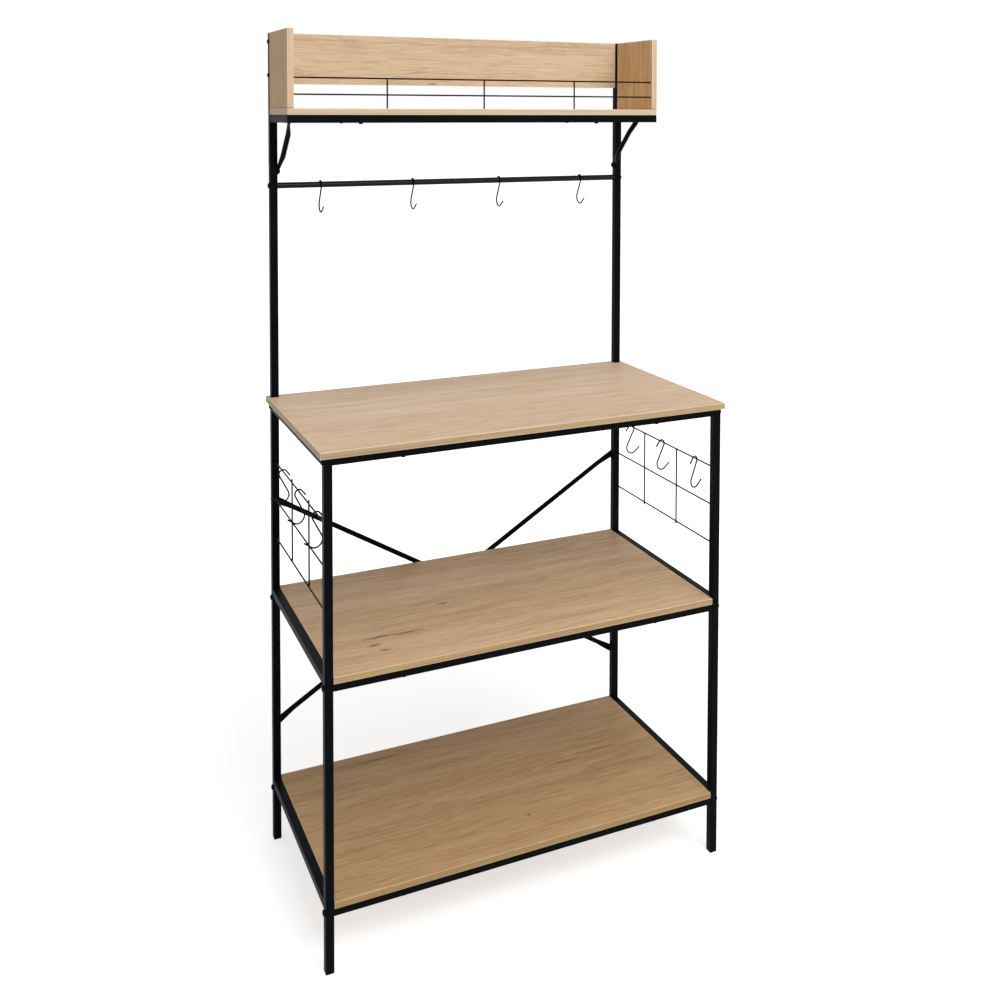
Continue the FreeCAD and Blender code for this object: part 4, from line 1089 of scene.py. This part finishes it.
class RACK_OT_bolts(bpy.types.Operator):
    """Model the bolts of the frame and of the braces"""

    bl_idname = "rack.bolts"
    bl_label = "Bolts"

    def execute(self, context):
        settings = context.scene.rack_fasteners
        black = coat_material("bolt_black", context.scene.rack_coat)
        turned_fasteners(("frame_bolts", "brace_bolts"), bolt_shape, settings, black)
        return {"FINISHED"}


class RACK_OT_screws(bpy.types.Operator):
    """Model the screws under the boards and in the back panel's ends"""

    bl_idname = "rack.screws"
    bl_label = "Screws"

    def execute(self, context):
        settings = context.scene.rack_fasteners
        black = coat_material("screw_black", context.scene.rack_coat)
        turned_fasteners(("shelf_screws", "back_panel_screws"), screw_shape, settings, black)
        return {"FINISHED"}


class RACK_OT_nut(bpy.types.Operator):
    """Model the nut where the crossed braces meet"""

    bl_idname = "rack.nut"
    bl_label = "Brace nut"

    def execute(self, context):
        black = coat_material("nut_black", context.scene.rack_coat)
        low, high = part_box("brace_nut")
        middle = (low + high) / 2
        width = min(high.x - low.x, high.z - low.z)
        nut = nut_shape(width, high.y - low.y, width * NUT_BORE)
        placed = place_copies([(nut, facing_matrix(middle, (0, 1, 0)))])
        rack_piece("brace_nut_turned", placed, black, ["brace_nut"])
        return {"FINISHED"}


class RACK_OT_welds(bpy.types.Operator):
    """Lay the beads at the side rails and the small welds of the wire"""

    bl_idname = "rack.welds"
    bl_label = "Welds"

    def execute(self, context):
        settings = context.scene.rack_welds
        coat = context.scene.rack_coat
        self.side_frames(settings, coat_material("bead_coat", coat))
        self.wire_joints(settings, coat_material("joint_coat", coat))
        return {"FINISHED"}

    def side_frames(self, settings, coat):
        for hand in ("left", "right"):
            beads = []
            for level in ("worktop", "mid", "bottom"):
                beads += rail_beads("%s_%s_rail" % (level, hand), settings, level != "worktop")
            rack_piece(hand + "_frame_welds", place_copies(beads), coat, [])

    def wire_joints(self, settings, coat):
        for grid in ("left_wire_grid", "right_wire_grid"):
            welds = place_copies(grid_welds(grid, settings))
            rack_piece(grid + "_welds", welds, coat, [])


class RACK_OT_small_parts(bpy.types.Operator):
    """Finish the feet, caps, inserts, plugs and dowels"""

    bl_idname = "rack.small_parts"
    bl_label = "Small parts"

    def execute(self, context):
        settings = context.scene.rack_coat
        wear(SLOTS["black_plastic"], coat_material("cap_plastic", settings))
        wear(SLOTS["zinc_insert"], metal_material("zinc_plate", settings.zinc))
        wear(SLOTS["beech_dowel"], dowel_material("beech", settings.dowel))
        return {"FINISHED"}


def soft_box(name, box, power):
    """A soft box lamp that points at the rack's middle."""
    lamp = bpy.data.lights.new(name, "AREA")
    lamp.shape = "RECTANGLE"
    lamp.size = box.width
    lamp.size_y = box.height
    lamp.energy = power
    holder = bpy.data.objects.new(name, lamp)
    holder.location = box.place
    holder.rotation_euler = (Vector(LIGHT_AIM) - Vector(box.place)).to_track_quat("-Z", "Y").to_euler()
    bpy.context.scene.collection.objects.link(holder)


def seen_directly(start):
    """1 for rays from the camera, or from a glossy or clear surface, and 0 for diffuse light."""
    path = start.node("ShaderNodeLightPath", out="Is Camera Ray")
    mirrored = path.beside("Is Glossy Ray")
    through = path.beside("Is Transmission Ray")
    return path.most(mirrored).most(through)


class RACK_OT_stage(bpy.types.Operator):
    """Set up the floor, the soft light and the camera"""

    bl_idname = "rack.stage"
    bl_label = "Stage"

    def execute(self, context):
        scene = context.scene
        settings = scene.rack_stage
        scene.view_settings.view_transform = "Standard"
        self.make_floor(scene, settings)
        self.make_room(scene, settings)
        soft_box("front_soft_box", FRONT_BOX, settings.front_power)
        soft_box("top_soft_box", TOP_BOX, settings.top_power)
        self.make_camera(scene, settings)
        return {"FINISHED"}

    def make_floor(self, scene, settings):
        work = bmesh.new()
        bmesh.ops.create_grid(work, x_segments=1, y_segments=1, size=settings.floor_side / 2)
        mesh = bpy.data.meshes.new("floor")
        work.to_mesh(mesh)
        work.free()
        material, start = new_material("floor_white")
        place = start.node("ShaderNodeTexCoord", out="Object")
        reach = place.node("ShaderNodeVectorMath", {"operation": "LENGTH"}, {0: place}, out="Value")
        far = smooth(reach, settings.glow_start, settings.glow_end)
        glow = seen_directly(start) * (far * (1.0 - settings.floor_glow) + settings.floor_glow)
        finish_material(start, {
            "Base Color": opaque(FLOOR_SHADE),
            "Roughness": FLOOR_ROUGHNESS,
            "Specular IOR Level": 0.0,
            "Emission Color": blend(glow, BLACK, WHITE),
            "Emission Strength": 1.0,
        })
        mesh.materials.append(material)
        floor = bpy.data.objects.new("floor", mesh)
        scene.collection.objects.link(floor)

    def make_room(self, scene, settings):
        world = bpy.data.worlds.new("white_room")
        world.use_nodes = True
        world.node_tree.nodes.clear()
        start = Flow(world.node_tree)
        level = seen_directly(start) * (1.0 - settings.room_level) + settings.room_level
        glow = start.node("ShaderNodeBackground", None, {"Color": opaque(WHITE), "Strength": level})
        start.node("ShaderNodeOutputWorld", None, {"Surface": glow})
        scene.world = world

    def make_camera(self, scene, settings):
        lens = bpy.data.cameras.new("photo_camera")
        lens.lens = settings.lens
        lens.sensor_width = SENSOR_WIDTH
        lens.shift_x = settings.lens_side
        lens.shift_y = settings.lens_rise
        camera = bpy.data.objects.new("photo_camera", lens)
        camera.location = settings.camera_place
        level = Euler((QUARTER_TURN - settings.camera_dip, 0.0, -settings.camera_yaw)).to_matrix()
        camera.rotation_euler = (level @ Matrix.Rotation(settings.camera_roll, 3, "Z")).to_euler()
        scene.collection.objects.link(camera)
        scene.camera = camera


STEPS = (
    ("boards", RACK_OT_boards),
    ("steel", RACK_OT_steel),
    ("wire", RACK_OT_wire),
    ("hooks", RACK_OT_hooks),
    ("bolts", RACK_OT_bolts),
    ("screws", RACK_OT_screws),
    ("nut", RACK_OT_nut),
    ("welds", RACK_OT_welds),
    ("small_parts", RACK_OT_small_parts),
    ("stage", RACK_OT_stage),
)


class RACK_PT_looks(bpy.types.Panel):
    """Lists the steps that dress the rack"""

    bl_idname = "RACK_PT_looks"
    bl_label = "Kitchen rack"
    bl_space_type = "VIEW_3D"
    bl_region_type = "UI"
    bl_category = "Rack"

    def draw(self, context):
        for _, step in STEPS:
            self.layout.operator(step.bl_idname)


SETTINGS = {
    "rack_laminate": LaminateSettings,
    "rack_coat": CoatSettings,
    "rack_fasteners": FastenerSettings,
    "rack_welds": WeldSettings,
    "rack_stage": StageSettings,
}
CLASSES = (*SETTINGS.values(), *(step for _, step in STEPS), RACK_PT_looks)


def register():
    for kind in CLASSES:
        bpy.utils.register_class(kind)
    for name, kind in SETTINGS.items():
        setattr(bpy.types.Scene, name, PointerProperty(type=kind))


def unregister():
    for name in SETTINGS:
        delattr(bpy.types.Scene, name)
    for kind in reversed(CLASSES):
        bpy.utils.unregister_class(kind)


def main():
    """Dress the rack."""
    register()
    for name, _ in STEPS:
        getattr(bpy.ops.rack, name)()


if __name__ == "__main__":
    main()
